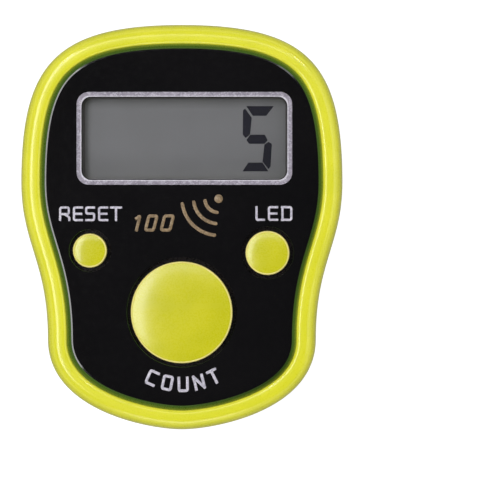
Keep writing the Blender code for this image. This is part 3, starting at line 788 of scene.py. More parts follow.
@dataclass(frozen=True)
class Moulding(Finish):
    """Moulded plastic or rubber."""

    wave_scale: float = 250.0
    peel_scale: float = 7000.0
    depth: float = 0.006 * MM
    uneven_gloss: float = 0.04
    scratches: float = 0.0
    scratch_gloss: float = 4.0
    scratch_depth: float = 0.3

    def draw(self, graph: Graph, place: Value) -> None:
        """Links the grain, the patches and the marks of use to the shader."""
        grain = MouldGrain.place(graph, place, Wave_Scale=self.wave_scale, Peel_Scale=self.peel_scale)
        color = self.painted_light(graph, graph.mix(grain["Patch"], self.color, self.shade))
        worn = graph.math("MULTIPLY", Handling.place(graph, place)["Scratches"], self.scratches)
        gloss = graph.math("ADD", grain["Gloss"], graph.math("MULTIPLY", worn, self.scratch_gloss))
        height = graph.math("SUBTRACT", grain["Height"], graph.math("MULTIPLY", worn, self.scratch_depth))
        self.lay(graph, color, gloss, height)

    def painted_light(self, graph: Graph, base: Value) -> Value:
        """Returns the colour as it is moulded, with no painted light."""
        return base


@dataclass(frozen=True)
class ShellMoulding(Moulding):
    """The bright moulding, with painted shade and a faint painted glow on the shell's inner wall, a painted
    highlight and glow on the buttons' rounded edges, and nearly black painted shade in the gaps.
    """

    # Painted shade on the shell's inner wall, and the painted highlight on a button's rounded edge.
    shade_and_highlight: Color = (0.08, 0.17, 0.012)
    shade_and_highlight_attribute: str = "shaded_and_lit"
    # A painted glow: emission where that shade or highlight is painted, though the part is no lamp.
    painted_glow: Color = (0.0, 0.0, 0.0)
    # Nearly black painted shade in the button holes, under the caps and at the foot of the inner wall.
    gap: Color = (0.012, 0.003, 0.005)
    painted_shade_attribute: str = "painted_gap_shade"

    def draw(self, graph: Graph, place: Value) -> None:
        """Links the moulding, and the painted glow where the painted shade and highlight lie, to the shader.
        """
        super().draw(graph, place)
        lit = self.painted(graph, self.shade_and_highlight_attribute, (0.0, 0.0, 0.0), self.painted_glow)
        graph.feed(graph.shader.inputs["Emission Color"], lit)
        graph.shader.inputs["Emission Strength"].default_value = 1.0

    def painted_light(self, graph: Graph, base: Value) -> Value:
        """Returns the colour with its painted shade and highlight, and nearly black painted shade in the
        gaps, where the masks say so.
        """
        shaded_and_lit = self.painted(graph, self.shade_and_highlight_attribute, base, self.shade_and_highlight)
        return self.painted(graph, self.painted_shade_attribute, shaded_and_lit, self.gap)

    def painted(self, graph: Graph, attribute: str, base: Value, color: Color) -> Value:
        """Returns a colour that gives way to another where a mask is painted."""
        mask = graph.add("ShaderNodeAttribute", attribute_name=attribute).outputs["Fac"]
        return graph.mix(mask, base, color)


@dataclass(frozen=True)
class Ink(Finish):
    """Screen-printed ink with metal flakes in it."""

    flake: Color = (0.8, 0.8, 0.8)
    flake_scale: float = 9000.0
    flake_share: float = 0.5
    cover: float = 0.6
    film_scale: float = 1800.0
    film_range: Pair = (0.35, 0.65)
    uneven_gloss: float = 0.08
    depth: float = 0.003 * MM
    relief: float = 0.4

    def draw(self, graph: Graph, place: Value) -> None:
        """Links the flakes and the uneven film to the shader."""
        flakes = Speckle.place(graph, place, Grain_Scale=self.flake_scale, Cover=self.cover)["Mask"]
        film = graph.ramp(graph.noise(place, self.film_scale, detail=3.0), *self.film_range)
        body = graph.mix(film, self.color, self.shade)
        color = graph.mix(graph.math("MULTIPLY", flakes, self.flake_share), body, self.flake)
        self.lay(graph, color, graph.ramp(film, 0.0, 1.0, -1.0, 1.0), film)


@dataclass(frozen=True)
class Metal(Finish):
    """Rolled or plated metal with drawn lines and a few dull patches."""

    line_scale: float = 2500.0
    line_length: float = 0.04
    smear_scale: float = 400.0
    uneven_gloss: float = 0.07

    def draw(self, graph: Graph, place: Value) -> None:
        """Links the lines and the patches to the shader."""
        lines = Drawn.place(graph, place, Line_Scale=self.line_scale, Length=self.line_length)
        smears = Handling.place(graph, place, Smear_Scale=self.smear_scale)["Smears"]
        gloss = graph.math("ADD", lines["Gloss"], smears)
        color = graph.mix(smears, self.color, self.shade)
        self.lay(graph, color, gloss, lines["Height"])


@dataclass(frozen=True)
class Film(Finish):
    """A thin polarizing, reflecting or diffusing film with a soft mottle."""

    mottle_scale: float = 260.0
    grit_scale: float = 12000.0
    relief: float = 0.3

    def draw(self, graph: Graph, place: Value) -> None:
        """Links the mottle and the matt grit to the shader."""
        mottle = graph.patch(graph.noise(place, self.mottle_scale))
        grit = graph.noise(place, self.grit_scale)
        self.lay(graph, graph.mix(mottle, self.color, self.shade), graph.swing(grit), grit)


@dataclass(frozen=True)
class Pane(Finish):
    """Clear acrylic or glass with faint smears."""

    smear_scale: float = 160.0
    depth: float = 0.001 * MM
    relief: float = 0.2

    def draw(self, graph: Graph, place: Value) -> None:
        """Links the smears to the shader."""
        marks = Handling.place(graph, place, Smear_Scale=self.smear_scale)
        color = graph.mix(marks["Smears"], self.color, self.shade)
        self.lay(graph, color, marks["Smears"], marks["Scratches"])


@dataclass(frozen=True)
class BoardMask(Finish):
    """Solder mask over copper tracks on woven glass."""

    copper: Color = (0.55, 0.32, 0.12)
    track_scale: float = 420.0
    track_share: float = 0.45
    gap: Pair = (0.07, 0.1)
    weave_scale: float = 3600.0
    weave_share: float = 0.25
    pad_scale: float = 700.0
    pad_cover: float = 0.06
    uneven_gloss: float = -0.1
    depth: float = 0.03 * MM

    def draw(self, graph: Graph, place: Value) -> None:
        """Links the tracks, the pads and the weave to the shader."""
        width, blur = self.gap
        settings = {"Vector": place, "Scale": self.track_scale, "Mortar_Size": width, "Mortar_Smooth": blur}
        tracks = graph.add("ShaderNodeTexBrick", **settings).outputs["Fac"]
        weave = graph.add("ShaderNodeTexChecker", Vector=place, Scale=self.weave_scale).outputs["Fac"]
        mask = graph.mix(graph.math("MULTIPLY", weave, self.weave_share), self.color, self.shade)
        lit = graph.mix(graph.math("MULTIPLY", tracks, self.track_share), mask, self.shade)
        pads = Speckle.place(graph, place, Grain_Scale=self.pad_scale, Cover=self.pad_cover)["Mask"]
        graph.feed(graph.shader.inputs["Metallic"], pads)
        raised = graph.math("SUBTRACT", 1.0, tracks)
        self.lay(graph, graph.mix(pads, lit, self.copper), pads, raised)


@dataclass(frozen=True)
class ChipBody(Finish):
    """A ceramic chip part with tinned ends, lying along X."""

    middle: float = 4.0 * MM
    half_length: float = 0.8 * MM
    cap_width: float = 0.3 * MM
    blur: float = 0.02 * MM
    tin: Color = (0.6, 0.6, 0.58)
    grit_scale: float = 9000.0
    uneven_gloss: float = -0.15
    depth: float = 0.01 * MM

    def draw(self, graph: Graph, place: Value) -> None:
        """Links the body and the tinned ends to the shader."""
        along = graph.feed_all(graph.add("ShaderNodeSeparateXYZ"), place)
        reach = graph.math("ABSOLUTE", graph.math("SUBTRACT", along, self.middle))
        edge = self.half_length - self.cap_width
        tinned = graph.ramp(reach, edge - self.blur, edge + self.blur)
        grit = graph.noise(place, self.grit_scale, detail=3.0)
        body = graph.mix(graph.patch(grit), self.color, self.shade)
        graph.feed(graph.shader.inputs["Metallic"], tinned)
        self.lay(graph, graph.mix(tinned, body, self.tin), tinned, grit)


@dataclass(frozen=True)
class LayeredRubber(Finish):
    """Conductive and insulating rubber in thin layers along X."""

    pitch_scale: float = 2500.0
    layer_range: Pair = (0.4, 0.6)
    uneven_gloss: float = 0.1
    depth: float = 0.01 * MM

    def draw(self, graph: Graph, place: Value) -> None:
        """Links the layers to the shader."""
        settings = {"wave_type": "BANDS", "bands_direction": "X", "Vector": place, "Scale": self.pitch_scale}
        layers = graph.ramp(graph.add("ShaderNodeTexWave", **settings).outputs["Fac"], *self.layer_range)
        self.lay(graph, graph.mix(layers, self.color, self.shade), layers, layers)


# The counter's finishes

# The shell: its inner wall gets painted shade with a faint green painted glow, and its gaps get nearly black
# painted shade.
SHELL_ABS = ShellMoulding(
    "shell_abs", (0.80, 0.78, 0.030), (0.74, 0.735, 0.022), 0.30, coat=0.45, depth=0.002 * MM,
    painted_glow=(0.065, 0.135, 0.016),
)
# The caps: the pale colour is a painted highlight on each rounded edge, with a painted glow; the flange gets
# nearly black painted shade.
BUTTON_ABS = ShellMoulding(
    "button_abs", (0.64, 0.615, 0.014), (0.59, 0.575, 0.010), 0.28, coat=0.5, wave_scale=400.0,
    depth=0.003 * MM, scratches=0.15, shade_and_highlight=(0.86, 0.76, 0.24), painted_glow=(0.05, 0.04, 0.01),
)
PLATE_BLACK = Moulding(
    "plate_black", (0.0045, 0.0040, 0.0048), (0.0030, 0.0028, 0.0034), 0.10, coat=0.3,
    wave_scale=90.0, peel_scale=2500.0, depth=0.0015 * MM, uneven_gloss=0.03, scratches=0.05,
)
SILVER_INK = Ink("silver_ink", (0.30, 0.27, 0.33), (0.22, 0.20, 0.25), 0.42, flake=(0.64, 0.60, 0.70))
SILVER_LABEL = Ink("silver_label_ink", (0.56, 0.53, 0.62), (0.40, 0.38, 0.46), 0.40, flake=(0.85, 0.83, 0.92))
# A painted highlight: brighter ink along the inner edge of the window's outline.
SILVER_HIGHLIGHT = Ink("silver_highlight_ink", (0.62, 0.60, 0.68), (0.50, 0.47, 0.54), 0.35, flake=(0.85, 0.84, 0.90))
GOLD_INK = Ink("gold_ink", (0.24, 0.16, 0.08), (0.16, 0.105, 0.05), 0.45, flake=(0.46, 0.33, 0.19))
LCD_FILM = Film("lcd_film", (0.168, 0.170, 0.179), (0.157, 0.159, 0.167), 0.42)
LCD_SEGMENT = Film("lcd_segment", (0.007, 0.006, 0.018), (0.004, 0.004, 0.012), 0.38, specular=0.15)
# Painted shade: a dark ring on the film under the window's edge.
LCD_EDGE_SHADE = Film("lcd_edge_shade", (0.090, 0.083, 0.088), (0.078, 0.072, 0.077), 0.45)
CLEAR_ACRYLIC = Pane("clear_acrylic", (0.09, 0.09, 0.095), (0.13, 0.13, 0.13), 0.05, alpha=0.05)
CELL_GLASS = Pane("cell_glass", (0.55, 0.60, 0.58), (0.60, 0.64, 0.62), 0.04, alpha=0.35)
SILVER_FILM = Film("silver_film", (0.55, 0.55, 0.53), (0.48, 0.48, 0.47), 0.30, metallic=0.7)
MILKY_SHEET = Film("milky_sheet", (0.86, 0.87, 0.84), (0.80, 0.81, 0.78), 0.45)
LED_RESIN = Moulding("led_resin", (0.82, 0.78, 0.52), (0.86, 0.84, 0.70), 0.25, wave_scale=1200.0, coat=0.5)
ZEBRA = LayeredRubber("zebra_rubber", (0.030, 0.030, 0.032), (0.16, 0.15, 0.15), 0.60)
BOARD = BoardMask("board_mask", (0.016, 0.13, 0.045), (0.03, 0.21, 0.08), 0.35, coat=0.3)
EPOXY = Moulding(
    "potting_epoxy", (0.012, 0.012, 0.013), (0.020, 0.020, 0.021), 0.25, wave_scale=900.0, coat=0.4
)
RESISTOR = ChipBody("resistor_ceramic", (0.020, 0.020, 0.022), (0.035, 0.035, 0.036), 0.45)
CAPACITOR = ChipBody("capacitor_ceramic", (0.42, 0.27, 0.14), (0.50, 0.34, 0.20), 0.45)
SWITCH_NYLON = Moulding("switch_nylon", (0.05, 0.05, 0.055), (0.07, 0.07, 0.075), 0.48)
PLUNGER_NYLON = Moulding("plunger_nylon", (0.68, 0.67, 0.62), (0.60, 0.59, 0.55), 0.42)
CELL_STEEL = Metal("cell_steel", (0.62, 0.61, 0.58), (0.52, 0.51, 0.48), 0.24, metallic=1.0)
SPRING_STEEL = Metal("contact_steel", (0.66, 0.63, 0.55), (0.55, 0.52, 0.44), 0.28, metallic=1.0)
SCREW_STEEL = Metal(
    "screw_steel", (0.50, 0.50, 0.51), (0.40, 0.40, 0.41), 0.32, metallic=1.0, line_length=0.5
)
SILICONE = Moulding(
    "strap_silicone", (0.016, 0.016, 0.018), (0.026, 0.026, 0.028), 0.62, wave_scale=160.0,
    peel_scale=5000.0, depth=0.012 * MM, uneven_gloss=0.07, specular=0.4,
)
DRESSES: dict[Finish, tuple[str, ...]] = {
    LCD_FILM: ("lcd_front_polarizer",),
    CELL_GLASS: ("lcd_front_glass", "lcd_rear_glass"),
    SILVER_FILM: ("lcd_reflector",),
    MILKY_SHEET: ("light_guide",),
    LED_RESIN: ("backlight_led",),
    ZEBRA: ("zebra_strip",),
    BOARD: ("circuit_board",),
    EPOXY: ("controller_chip",),
    RESISTOR: ("resistor_1", "resistor_2"),
    CAPACITOR: ("capacitor_1", "capacitor_2"),
    SWITCH_NYLON: ("count_switch", "reset_switch", "led_switch"),
    PLUNGER_NYLON: ("count_plunger", "reset_plunger", "led_plunger"),
    CELL_STEEL: ("button_cell_right", "button_cell_left"),
    SPRING_STEEL: ("cell_bridge_plate", "contact_negative", "contact_positive"),
}


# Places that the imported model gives

def axis(node: str) -> Pair:
    """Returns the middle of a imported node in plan."""
    low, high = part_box(node)
    return ((low.x + high.x) / 2, (low.y + high.y) / 2)


def heights(node: str) -> Pair:
    """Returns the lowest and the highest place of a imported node."""
    low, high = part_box(node)
    return low.z, high.z


@dataclass(frozen=True)
class ButtonPlace:
    """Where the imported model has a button."""

    name: str
    body: Body
    flange_width: float = 0.8 * MM
    clearance: float = 0.38 * MM

    @property
    def node(self) -> str:
        """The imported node."""
        return f"{self.name}_button"

    @property
    def flange(self) -> float:
        """The flange's radius."""
        low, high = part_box(self.node)
        return (high.y - low.y) / 2

    @property
    def cap(self) -> float:
        """The cap's radius."""
        return self.flange - self.flange_width


COUNT = ButtonPlace("count", Body.COUNT)
RESET = ButtonPlace("reset", Body.RESET)
LIGHT = ButtonPlace("led", Body.LIGHT)
BUTTONS = (COUNT, RESET, LIGHT)


@dataclass
class Datum:
    """Places and heights that several pieces share."""

    window_fit: float = 0.08 * MM
    window_corner: float = 0.75 * MM
    corner_limit: float = 0.9
    hole_sides: int = 96
    deck_gap: float = 0.1 * MM
    deck_thickness: float = 0.9 * MM
    rim_width: float = 1.95 * MM

    def __post_init__(self) -> None:
        """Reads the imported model."""
        low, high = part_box("front_case")
        self.outline = CaseOutline(high.y - low.y, high.x - low.x)
        self.parting, self.crest = low.z, high.z
        self.rear = heights("rear_cover")[0]
        self.plate_low, self.plate_top = heights("faceplate")
        self.board_low, self.board_top = heights("circuit_board")
        self.film_top = heights("lcd_front_polarizer")[1]
        self.cell_x, self.cell_y = axis("button_cell_right")
        self.cell_top = heights("button_cell_right")[1]
        self.screws = [axis(f"case_screw_{number}") for number in range(1, 5)]
        self.holes = [(Vector(axis(button.node)), button.cap + button.clearance) for button in BUTTONS]
        low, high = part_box("display_window")
        self.window_centre = axis("display_window")
        self.window_size = (high.x - low.x + 2 * self.window_fit, high.y - low.y + 2 * self.window_fit)
        self.deck_top = self.plate_low - self.deck_gap
        self.deck_low = self.deck_top - self.deck_thickness

    def hole_outlines(self) -> list[list[Vector]]:
        """Returns the outlines of the holes that the caps move in."""
        return [circle(radius, self.hole_sides, centre) for centre, radius in self.holes]

    def window(self, margin: float = 0.0) -> list[Vector]:
        """Returns the window opening's outline.

        Args:
            margin: How much larger it is made on every side.

        Returns:
            Its points.
        """
        width, height = self.window_size
        corner = self.window_corner + max(margin, -self.corner_limit * self.window_corner)
        return rounded_rectangle(self.window_centre, width + 2 * margin, height + 2 * margin, corner)


# Sub-assemblies

@dataclass
class FrontShell:
    """The bright front shell: side wall, rim bead and the deck under the face plate."""

    datum: Datum
    wall: float = 1.2 * MM
    crest_inset: float = 1.25 * MM
    bead_rise: float = 2.2 * MM
    inner_width: float = 0.45 * MM
    inner_fall: float = 0.4 * MM
    opening_margin: float = 0.2 * MM
    glass_fit: float = 0.15 * MM
    pocket: float = 0.4 * MM
    boss_radius: float = 1.3 * MM
    pilot: float = 0.65 * MM
    pilot_sides: int = 32
    film: float = 0.1 * MM
    lower_edge: float = 0.12 * MM
    bead_steps: int = 18
    bead_power: float = 2.8
    # Where the painted shade lies on the wall below the bead, and how much more of it falls on the lower wall
    # and towards the lower right.
    shade_top: float = 0.14 * MM
    shade_full: float = 0.50 * MM
    shade_end: float = 2.0 * MM
    dark_from: float = 1.3 * MM
    side_shade: float = 0.7
    low_shade: float = 0.3
    corner_shade: float = 0.8

    def profile(self) -> list[Pair]:
        """Returns the levels of the shell, from the parting line over the bead to the deck."""
        datum = self.datum
        top = (self.crest_inset, datum.crest)
        inner = (self.crest_inset + self.inner_width, datum.crest - self.inner_fall)
        levels = [(0.0, datum.parting), (0.0, datum.crest - self.bead_rise)]
        levels += quarter(levels[-1], top, self.bead_steps, True, self.bead_power)[1:]
        levels += quarter(top, inner, self.bead_steps // 2, False, self.bead_power)[1:]
        return levels + [(datum.rim_width, datum.deck_top)]

    def build(self) -> Piece:
        """Builds and dresses the shell, and paints its shade."""
        datum = self.datum
        outline = datum.outline.points()
        shell = stack(outline, self.profile())
        select(shell, Part.FACE, lambda centre, normal: normal.z < -FACING)
        bpy.ops.mesh.inset(thickness=self.wall, depth=0.0, use_even_offset=True)
        push(datum.deck_low - datum.parting)
        mode("OBJECT")
        round_outlines(shell, [outline], datum.parting, self.lower_edge)
        boss = (datum.board_top + self.film, datum.deck_low + self.film)
        bosses = [prism(circle(self.boss_radius, ROUND_SIDES, place), *boss) for place in datum.screws]
        combine(shell, Cut.ADD, *bosses)
        combine(shell, Cut.TAKE, *self.openings())
        piece = finish(shell, "front_shell", SHELL_ABS, "case_abs", "front_case")
        paint(piece, SHELL_ABS, self.masks)
        return piece

    def openings(self) -> list[Piece]:
        """Returns the solids that cut the window, the glass's pocket and the holes."""
        datum = self.datum
        low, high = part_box("lcd_front_glass")
        fit, (board, crest) = self.glass_fit, (datum.board_top, datum.crest)
        made = [prism(datum.window(self.opening_margin), board, crest)]
        top = datum.deck_low + self.pocket
        made.append(brick(low.x - fit, low.y - fit, high.x + fit, high.y + fit, board, top))
        made += [prism(hole, board, crest) for hole in datum.hole_outlines()]
        screw_top = heights("case_screw_1")[1] + self.film
        pilots = (circle(self.pilot, self.pilot_sides, place) for place in datum.screws)
        return made + [prism(pilot, datum.board_low, screw_top) for pilot in pilots]

    def masks(self, corner: bpy.types.MeshVertex) -> Pair:
        """Returns how strong the painted shade is at a corner: greener and glowing on the wall below the
        bead, darker on the lower wall and darkest towards the lower right, and nearly black at the wall's
        foot and in a button hole.

        Args:
            corner: The corner.

        Returns:
            The shares of the painted shade with its glow, and of the nearly black painted shade.
        """
        inwards = corner.normal.x * corner.co.x + corner.normal.y * corner.co.y < 0
        fall = self.datum.crest - corner.co.z
        share = (fall - self.shade_top) / (self.shade_full - self.shade_top)
        share = min(max(share, 0.0), 1.0) if inwards and fall < self.shade_end else 0.0
        facing = corner.normal.xy.normalized()
        low_end = max(facing.y, 0.0)
        shade = low_end * (self.low_shade + max(-facing.x, 0.0) * self.corner_shade)
        painted_light = share * (self.side_shade + (1 - self.side_shade) * low_end) * (1 - shade)
        at_foot = share > 0.0 and fall > self.dark_from
        in_hole = any((corner.co.xy - centre).length < radius + NEAR for centre, radius in self.datum.holes)
        return painted_light, 1.0 if in_hole or at_foot else share * shade


@dataclass
class FacePlate:
    """The glossy black plate in the rim, with the window and button holes."""

    datum: Datum
    gap: float = 0.1 * MM
    chamfer: Pair = (0.12 * MM, 0.025 * MM)
    hole_bevel: float = 0.06 * MM

    def build(self) -> Piece:
        """Builds and dresses the plate."""
        datum = self.datum
        top = datum.plate_top
        width, fall = self.chamfer
        profile = [(0.0, datum.plate_low), (0.0, top - fall), (width, top)]
        plate = stack(datum.outline.points(datum.rim_width + self.gap), profile)
        openings = [*datum.hole_outlines(), datum.window()]
        combine(plate, Cut.TAKE, *(prism(opening, datum.deck_top, datum.crest) for opening in openings))
        straighten(plate)
        round_outlines(plate, openings, top, self.hole_bevel)
        return finish(plate, "face_plate", PLATE_BLACK, "faceplate", "faceplate", angle=8.0)


@dataclass
class PushButton:
    """One crowned push button with its flange."""

    place: ButtonPlace
    rounding: float = 0.22 * MM
    rounding_steps: int = 6
    # How much of the rounded edge gets the painted highlight.
    highlight_share: float = 0.45
    crown_share: float = 0.06
    crown_power: int = 3
    flange_thickness: float = 0.45 * MM
    sides: int = 128
    crown_steps: int = 12

    def build(self) -> Piece:
        """Builds and dresses the button, and paints its highlight and shade."""
        place, rounding = self.place, self.rounding
        low, high = heights(place.node)
        crown = self.crown_share * place.cap
        shoulder = high - crown
        step, flange_top = place.flange_width, low + self.flange_thickness
        levels = [(0.0, low), (0.0, flange_top), (step, flange_top), (step, shoulder - rounding)]
        levels += quarter(levels[-1], (step + rounding, shoulder), self.rounding_steps, True)[1:]
        for number in range(1, self.crown_steps):
            share = 1 - number / self.crown_steps
            across = (place.cap - rounding) * share
            levels.append((place.flange - across, high - crown * share**self.crown_power))
        button = stack(circle(place.flange, self.sides, axis(place.node)), levels)
        name = f"{place.name}_cap"
        piece = finish(button, name, BUTTON_ABS, "button_abs", place.node, body=place.body, angle=40.0)

        def masks(corner: bpy.types.MeshVertex) -> Pair:
            """Returns the painted highlight on the cap's rounded edge, and the nearly black painted shade on
            the flange.
            """
            on_edge = abs(corner.co.z - shoulder + rounding / 2) < self.highlight_share * rounding
            return float(on_edge), float(corner.co.z < low + 2 * self.flange_thickness)

        paint(piece, BUTTON_ABS, masks)
        return piece


@dataclass
class RearCover:
    """The rear tray: floor, tongue, strap channel with two bars, cell bay and screw posts."""

    datum: Datum
    wall: float = 1.2 * MM
    snug: float = 0.15 * MM
    film: float = 0.1 * MM
    floor: float = 1.0 * MM
    tongue: Pair = (0.65 * MM, 0.8 * MM)
    rounding: float = 1.1 * MM
    rounding_steps: int = 12
    shadow_line: float = 0.12 * MM
    strap_y: float = 1.0 * MM
    channel_half: float = 5.3 * MM
    channel_depth: float = 2.4 * MM
    channel_wall: float = 1.2 * MM
    channel_roof: float = 0.8 * MM
    bar: Pair = (1.6 * MM, 0.85 * MM)
    bar_outer: float = 7.8 * MM
    bar_sink: float = 0.15 * MM
    bay_radius: float = 4.1 * MM
    bay_wall: float = 0.9 * MM
    ledge: float = 0.35 * MM
    head_hole: Pair = (1.25 * MM, 1.3 * MM)
    shank_hole: float = 0.65 * MM
    foot_radius: float = 1.7 * MM
    foot_top: float = 2.2 * MM
    post_radius: float = 1.1 * MM
    door_boss: float = 0.9 * MM
    door_pilot: float = 0.55 * MM
    notch: tuple[float, float, float] = (1.75 * MM, 0.70 * MM, 0.75 * MM)
    edge: float = 0.05 * MM
    crumb: float = 0.006 * MM

    def build(self) -> Piece:
        """Builds and dresses the cover."""
        cover = self.tray()
        self.add_channel(cover)
        self.add_bay_and_posts(cover)
        self.cut_holes(cover)
        combine(cover, Cut.ADD, self.strap_bar(1), self.strap_bar(-1))
        self.add_door_boss(cover)
        soften(cover, self.edge)
        straighten(cover, self.crumb)
        return finish(cover, "rear_tray", SHELL_ABS, "case_abs", "rear_cover")

    def level(self, height: float) -> float:
        """Returns the height of a level that is measured from the rear face."""
        return self.datum.rear + height

    def tray(self) -> Piece:
        """Returns the floor with its rounded edge, the wall and the tongue."""
        shoulder = self.wall + self.snug
        inner = shoulder + self.tongue[0]
        parting = self.datum.parting - self.film - self.datum.rear
        tongue_top = parting + self.tongue[1]
        profile = quarter((self.rounding, 0.0), (self.shadow_line, self.rounding), self.rounding_steps, False)
        profile += [(self.shadow_line, parting), (shoulder, parting), (shoulder, tongue_top)]
        profile += [(inner, tongue_top), (inner, self.floor)]
        levels = [(inset - self.rounding, self.level(height)) for inset, height in profile]
        return stack(self.datum.outline.points(self.rounding), levels)

    def add_channel(self, cover: Piece) -> None:
        """Adds the block that the strap crosses, and cuts the channel into it.

        Args:
            cover: The cover.
        """
        low, high = self.strap_y - self.channel_half, self.strap_y + self.channel_half
        top = self.channel_depth + self.channel_roof
        outline = self.datum.outline.points(self.wall + self.snug)
        block = prism(outline, self.level(self.floor / 2), self.level(top))
        reach, wall = self.datum.outline.width, self.channel_wall
        across = brick(-reach, low - wall, reach, high + wall, self.level(0.0), self.level(2 * top))
        combine(block, Cut.KEEP, across)
        combine(cover, Cut.ADD, block)
        channel = brick(-reach, low, reach, high, self.level(-top), self.level(self.channel_depth))
        combine(cover, Cut.TAKE, channel)

    def add_bay_and_posts(self, cover: Piece) -> None:
        """Adds the walls of the cell bay and the screw posts.

        Args:
            cover: The cover.
        """
        low, step = self.level(self.floor / 2), self.level(self.foot_top)
        top = self.datum.board_low - self.film
        wall = self.bay(self.bay_radius + self.bay_wall)
        combine(cover, Cut.ADD, prism(wall, low, self.datum.cell_top - self.film))
        radii = (self.foot_radius, self.post_radius)
        combine(cover, Cut.ADD, *(stepped(radii, (low, step, top), place) for place in self.datum.screws))

    def cut_holes(self, cover: Piece) -> None:
        """Cuts the cell bay, the door's seat and notch, and the screw holes.

        Args:
            cover: The cover.
        """
        datum = self.datum
        below, above = self.level(-self.floor), datum.board_low
        bay = prism(self.bay(self.bay_radius), below, above)
        combine(cover, Cut.TAKE, bay, prism(self.bay(self.bay_radius + self.ledge), below, self.door_seat))
        head, seat = self.head_hole
        levels = (below, self.level(seat), above)
        combine(cover, Cut.TAKE, *(stepped((head, self.shank_hole), levels, place) for place in datum.screws))
        half, depth, reach = self.notch
        low = datum.cell_y + self.bay_radius
        notch = brick(-half, low, half, low + self.ledge + reach, self.door_seat - depth, self.door_seat)
        combine(cover, Cut.TAKE, notch)

    def strap_bar(self, side: int) -> Piece:
        """Returns one of the two bars that the strap passes under.

        Args:
            side: 1 for the bar on the right, -1 for the left.

        Returns:
            The bar.
        """
        width, thickness = self.bar
        half = self.channel_half + self.film
        left, right = sorted((side * self.bar_outer, side * (self.bar_outer - width)))
        low = self.level(self.bar_sink)
        high = self.level(self.bar_sink + thickness)
        bar = brick(left, self.strap_y - half, right, self.strap_y + half, low, high)
        round_edges(bar, lambda a, b: abs(a.y - b.y) > thickness, thickness / 3, 4)
        return bar

    def add_door_boss(self, cover: Piece) -> None:
        """Adds the door screw's boss and its rib, and drills the boss.

        Args:
            cover: The cover.
        """
        datum, half, seat = self.datum, self.door_boss / 2, self.door_seat
        top = datum.cell_top - self.film
        centre = axis("door_screw")
        near = datum.cell_y - self.bay_radius - self.film
        combine(cover, Cut.ADD, brick(-half, near, half, centre[1], seat, top - self.film))
        combine(cover, Cut.ADD, prism(circle(self.door_boss, ROUND_SIDES, centre), seat, top))
        pilot = circle(self.door_pilot, ROUND_SIDES, centre)
        combine(cover, Cut.TAKE, prism(pilot, self.level(-self.floor), datum.board_low))

    @property
    def door_seat(self) -> float:
        """The height at which the door's inner face lies, with its clearance."""
        return heights("battery_door")[1] + self.snug

    def bay(self, radius: float) -> list[Vector]:
        """Returns the outline round the two cells."""
        return stadium(self.datum.cell_x, self.datum.cell_y, radius)


@dataclass
class BatteryDoor:
    """The door over the two cells, with its tab and a sunk screw hole."""

    datum: Datum
    radius: float = 4.3 * MM
    tab: Pair = (3.2 * MM, 0.45 * MM)
    reach: float = 0.70 * MM
    head_hole: Pair = (0.95 * MM, 0.55 * MM)
    shank_hole: float = 0.55 * MM
    edge: float = 0.09 * MM
    edge_steps: int = 4

    def build(self) -> Piece:
        """Builds and dresses the door."""
        datum, rounding = self.datum, self.edge
        low, high = heights("battery_door")
        rounded = quarter((rounding, low), (0.0, low + rounding), self.edge_steps, False)
        levels = [(inset - rounding, height) for inset, height in rounded] + [(-rounding, high)]
        door = stack(stadium(datum.cell_x, datum.cell_y, self.radius - rounding), levels)
        width, thickness = self.tab
        edge = datum.cell_y + self.radius
        tab = brick(-width / 2, edge - self.reach, width / 2, edge + self.reach, high - thickness, high)
        round_edges(tab, lambda a, b: min(a.y, b.y) > edge, thickness / 5, 3)
        combine(door, Cut.ADD, tab)
        head, seat = self.head_hole
        hole = stepped((head, self.shank_hole), (low - seat, low + seat, high + seat), axis("door_screw"))
        combine(door, Cut.TAKE, hole)
        return finish(door, "cell_door", SHELL_ABS, "case_abs", "battery_door")


@dataclass
class Screw:
    """A pan-head screw, driven from the rear, with a cross recess."""

    node: str
    shank: float = 0.55 * MM
    head: float = 1.1 * MM
    head_height: float = 0.7 * MM
    crown: float = 0.35
    crown_steps: int = 6
    recess_share: float = 0.62
    recess_width: float = 0.30 * MM
    recess_taper: float = 0.7
    pitch: float = 0.40 * MM
    thread: float = 0.05 * MM
    groove: Pair = (0.45, 0.6)

    def build(self) -> Piece:
        """Builds and dresses the screw."""
        low, high = heights(self.node)
        rounded = self.head_height * self.crown
        seat, neck = low + self.head_height, high - self.shank
        edge = quarter((rounded * 2, low), (0.0, low + rounded), self.crown_steps, False)
        levels = [(self.head - inset, height) for inset, height in edge]
        levels += [(self.head, seat), (self.shank, seat), *self.ridges(seat, neck)]
        levels += [(self.shank, neck), (self.shank / 2, high)]
        first = levels[0][0]
        centre = axis(self.node)
        screw = stack(circle(first, ROUND_SIDES, centre), [(first - radius, z) for radius, z in levels])
        self.cut_recess(screw, centre, low)
        return finish(screw, f"{self.node}_steel", SCREW_STEEL, "screw_steel", self.node, angle=40.0)

    def ridges(self, low: float, high: float) -> list[Pair]:
        """Returns the ridges of the thread.

        Args:
            low: The height where the shank begins.
            high: The height where its point begins.

        Returns:
            Pairs of radius and height.
        """
        inner = self.shank - self.thread
        levels = []
        for ridge in range(1, int((high - low) / self.pitch)):
            start = low + ridge * self.pitch
            levels.append((self.shank, start))
            levels += [(inner, start + self.pitch * share) for share in self.groove]
        return levels

    def cut_recess(self, screw: Piece, centre: Pair, low: float) -> None:
        """Cuts the tapered cross into the head.

        Args:
            screw: The screw.
            centre: Its axis in plan.
            low: The height of the head's face.
        """
        depth, reach = self.head_height * self.recess_share, self.head * self.recess_share
        half = self.recess_width / 2
        for x, y in ((reach, half), (half, reach)):
            slot = brick(centre[0] - x, centre[1] - y, centre[0] + x, centre[1] + y, low - depth, low + depth)
            select(slot, Part.FACE, lambda middle, normal: normal.z > FACING)
            bpy.ops.transform.resize(value=(self.recess_taper, self.recess_taper, 1.0))
            mode("OBJECT")
            combine(screw, Cut.TAKE, slot)


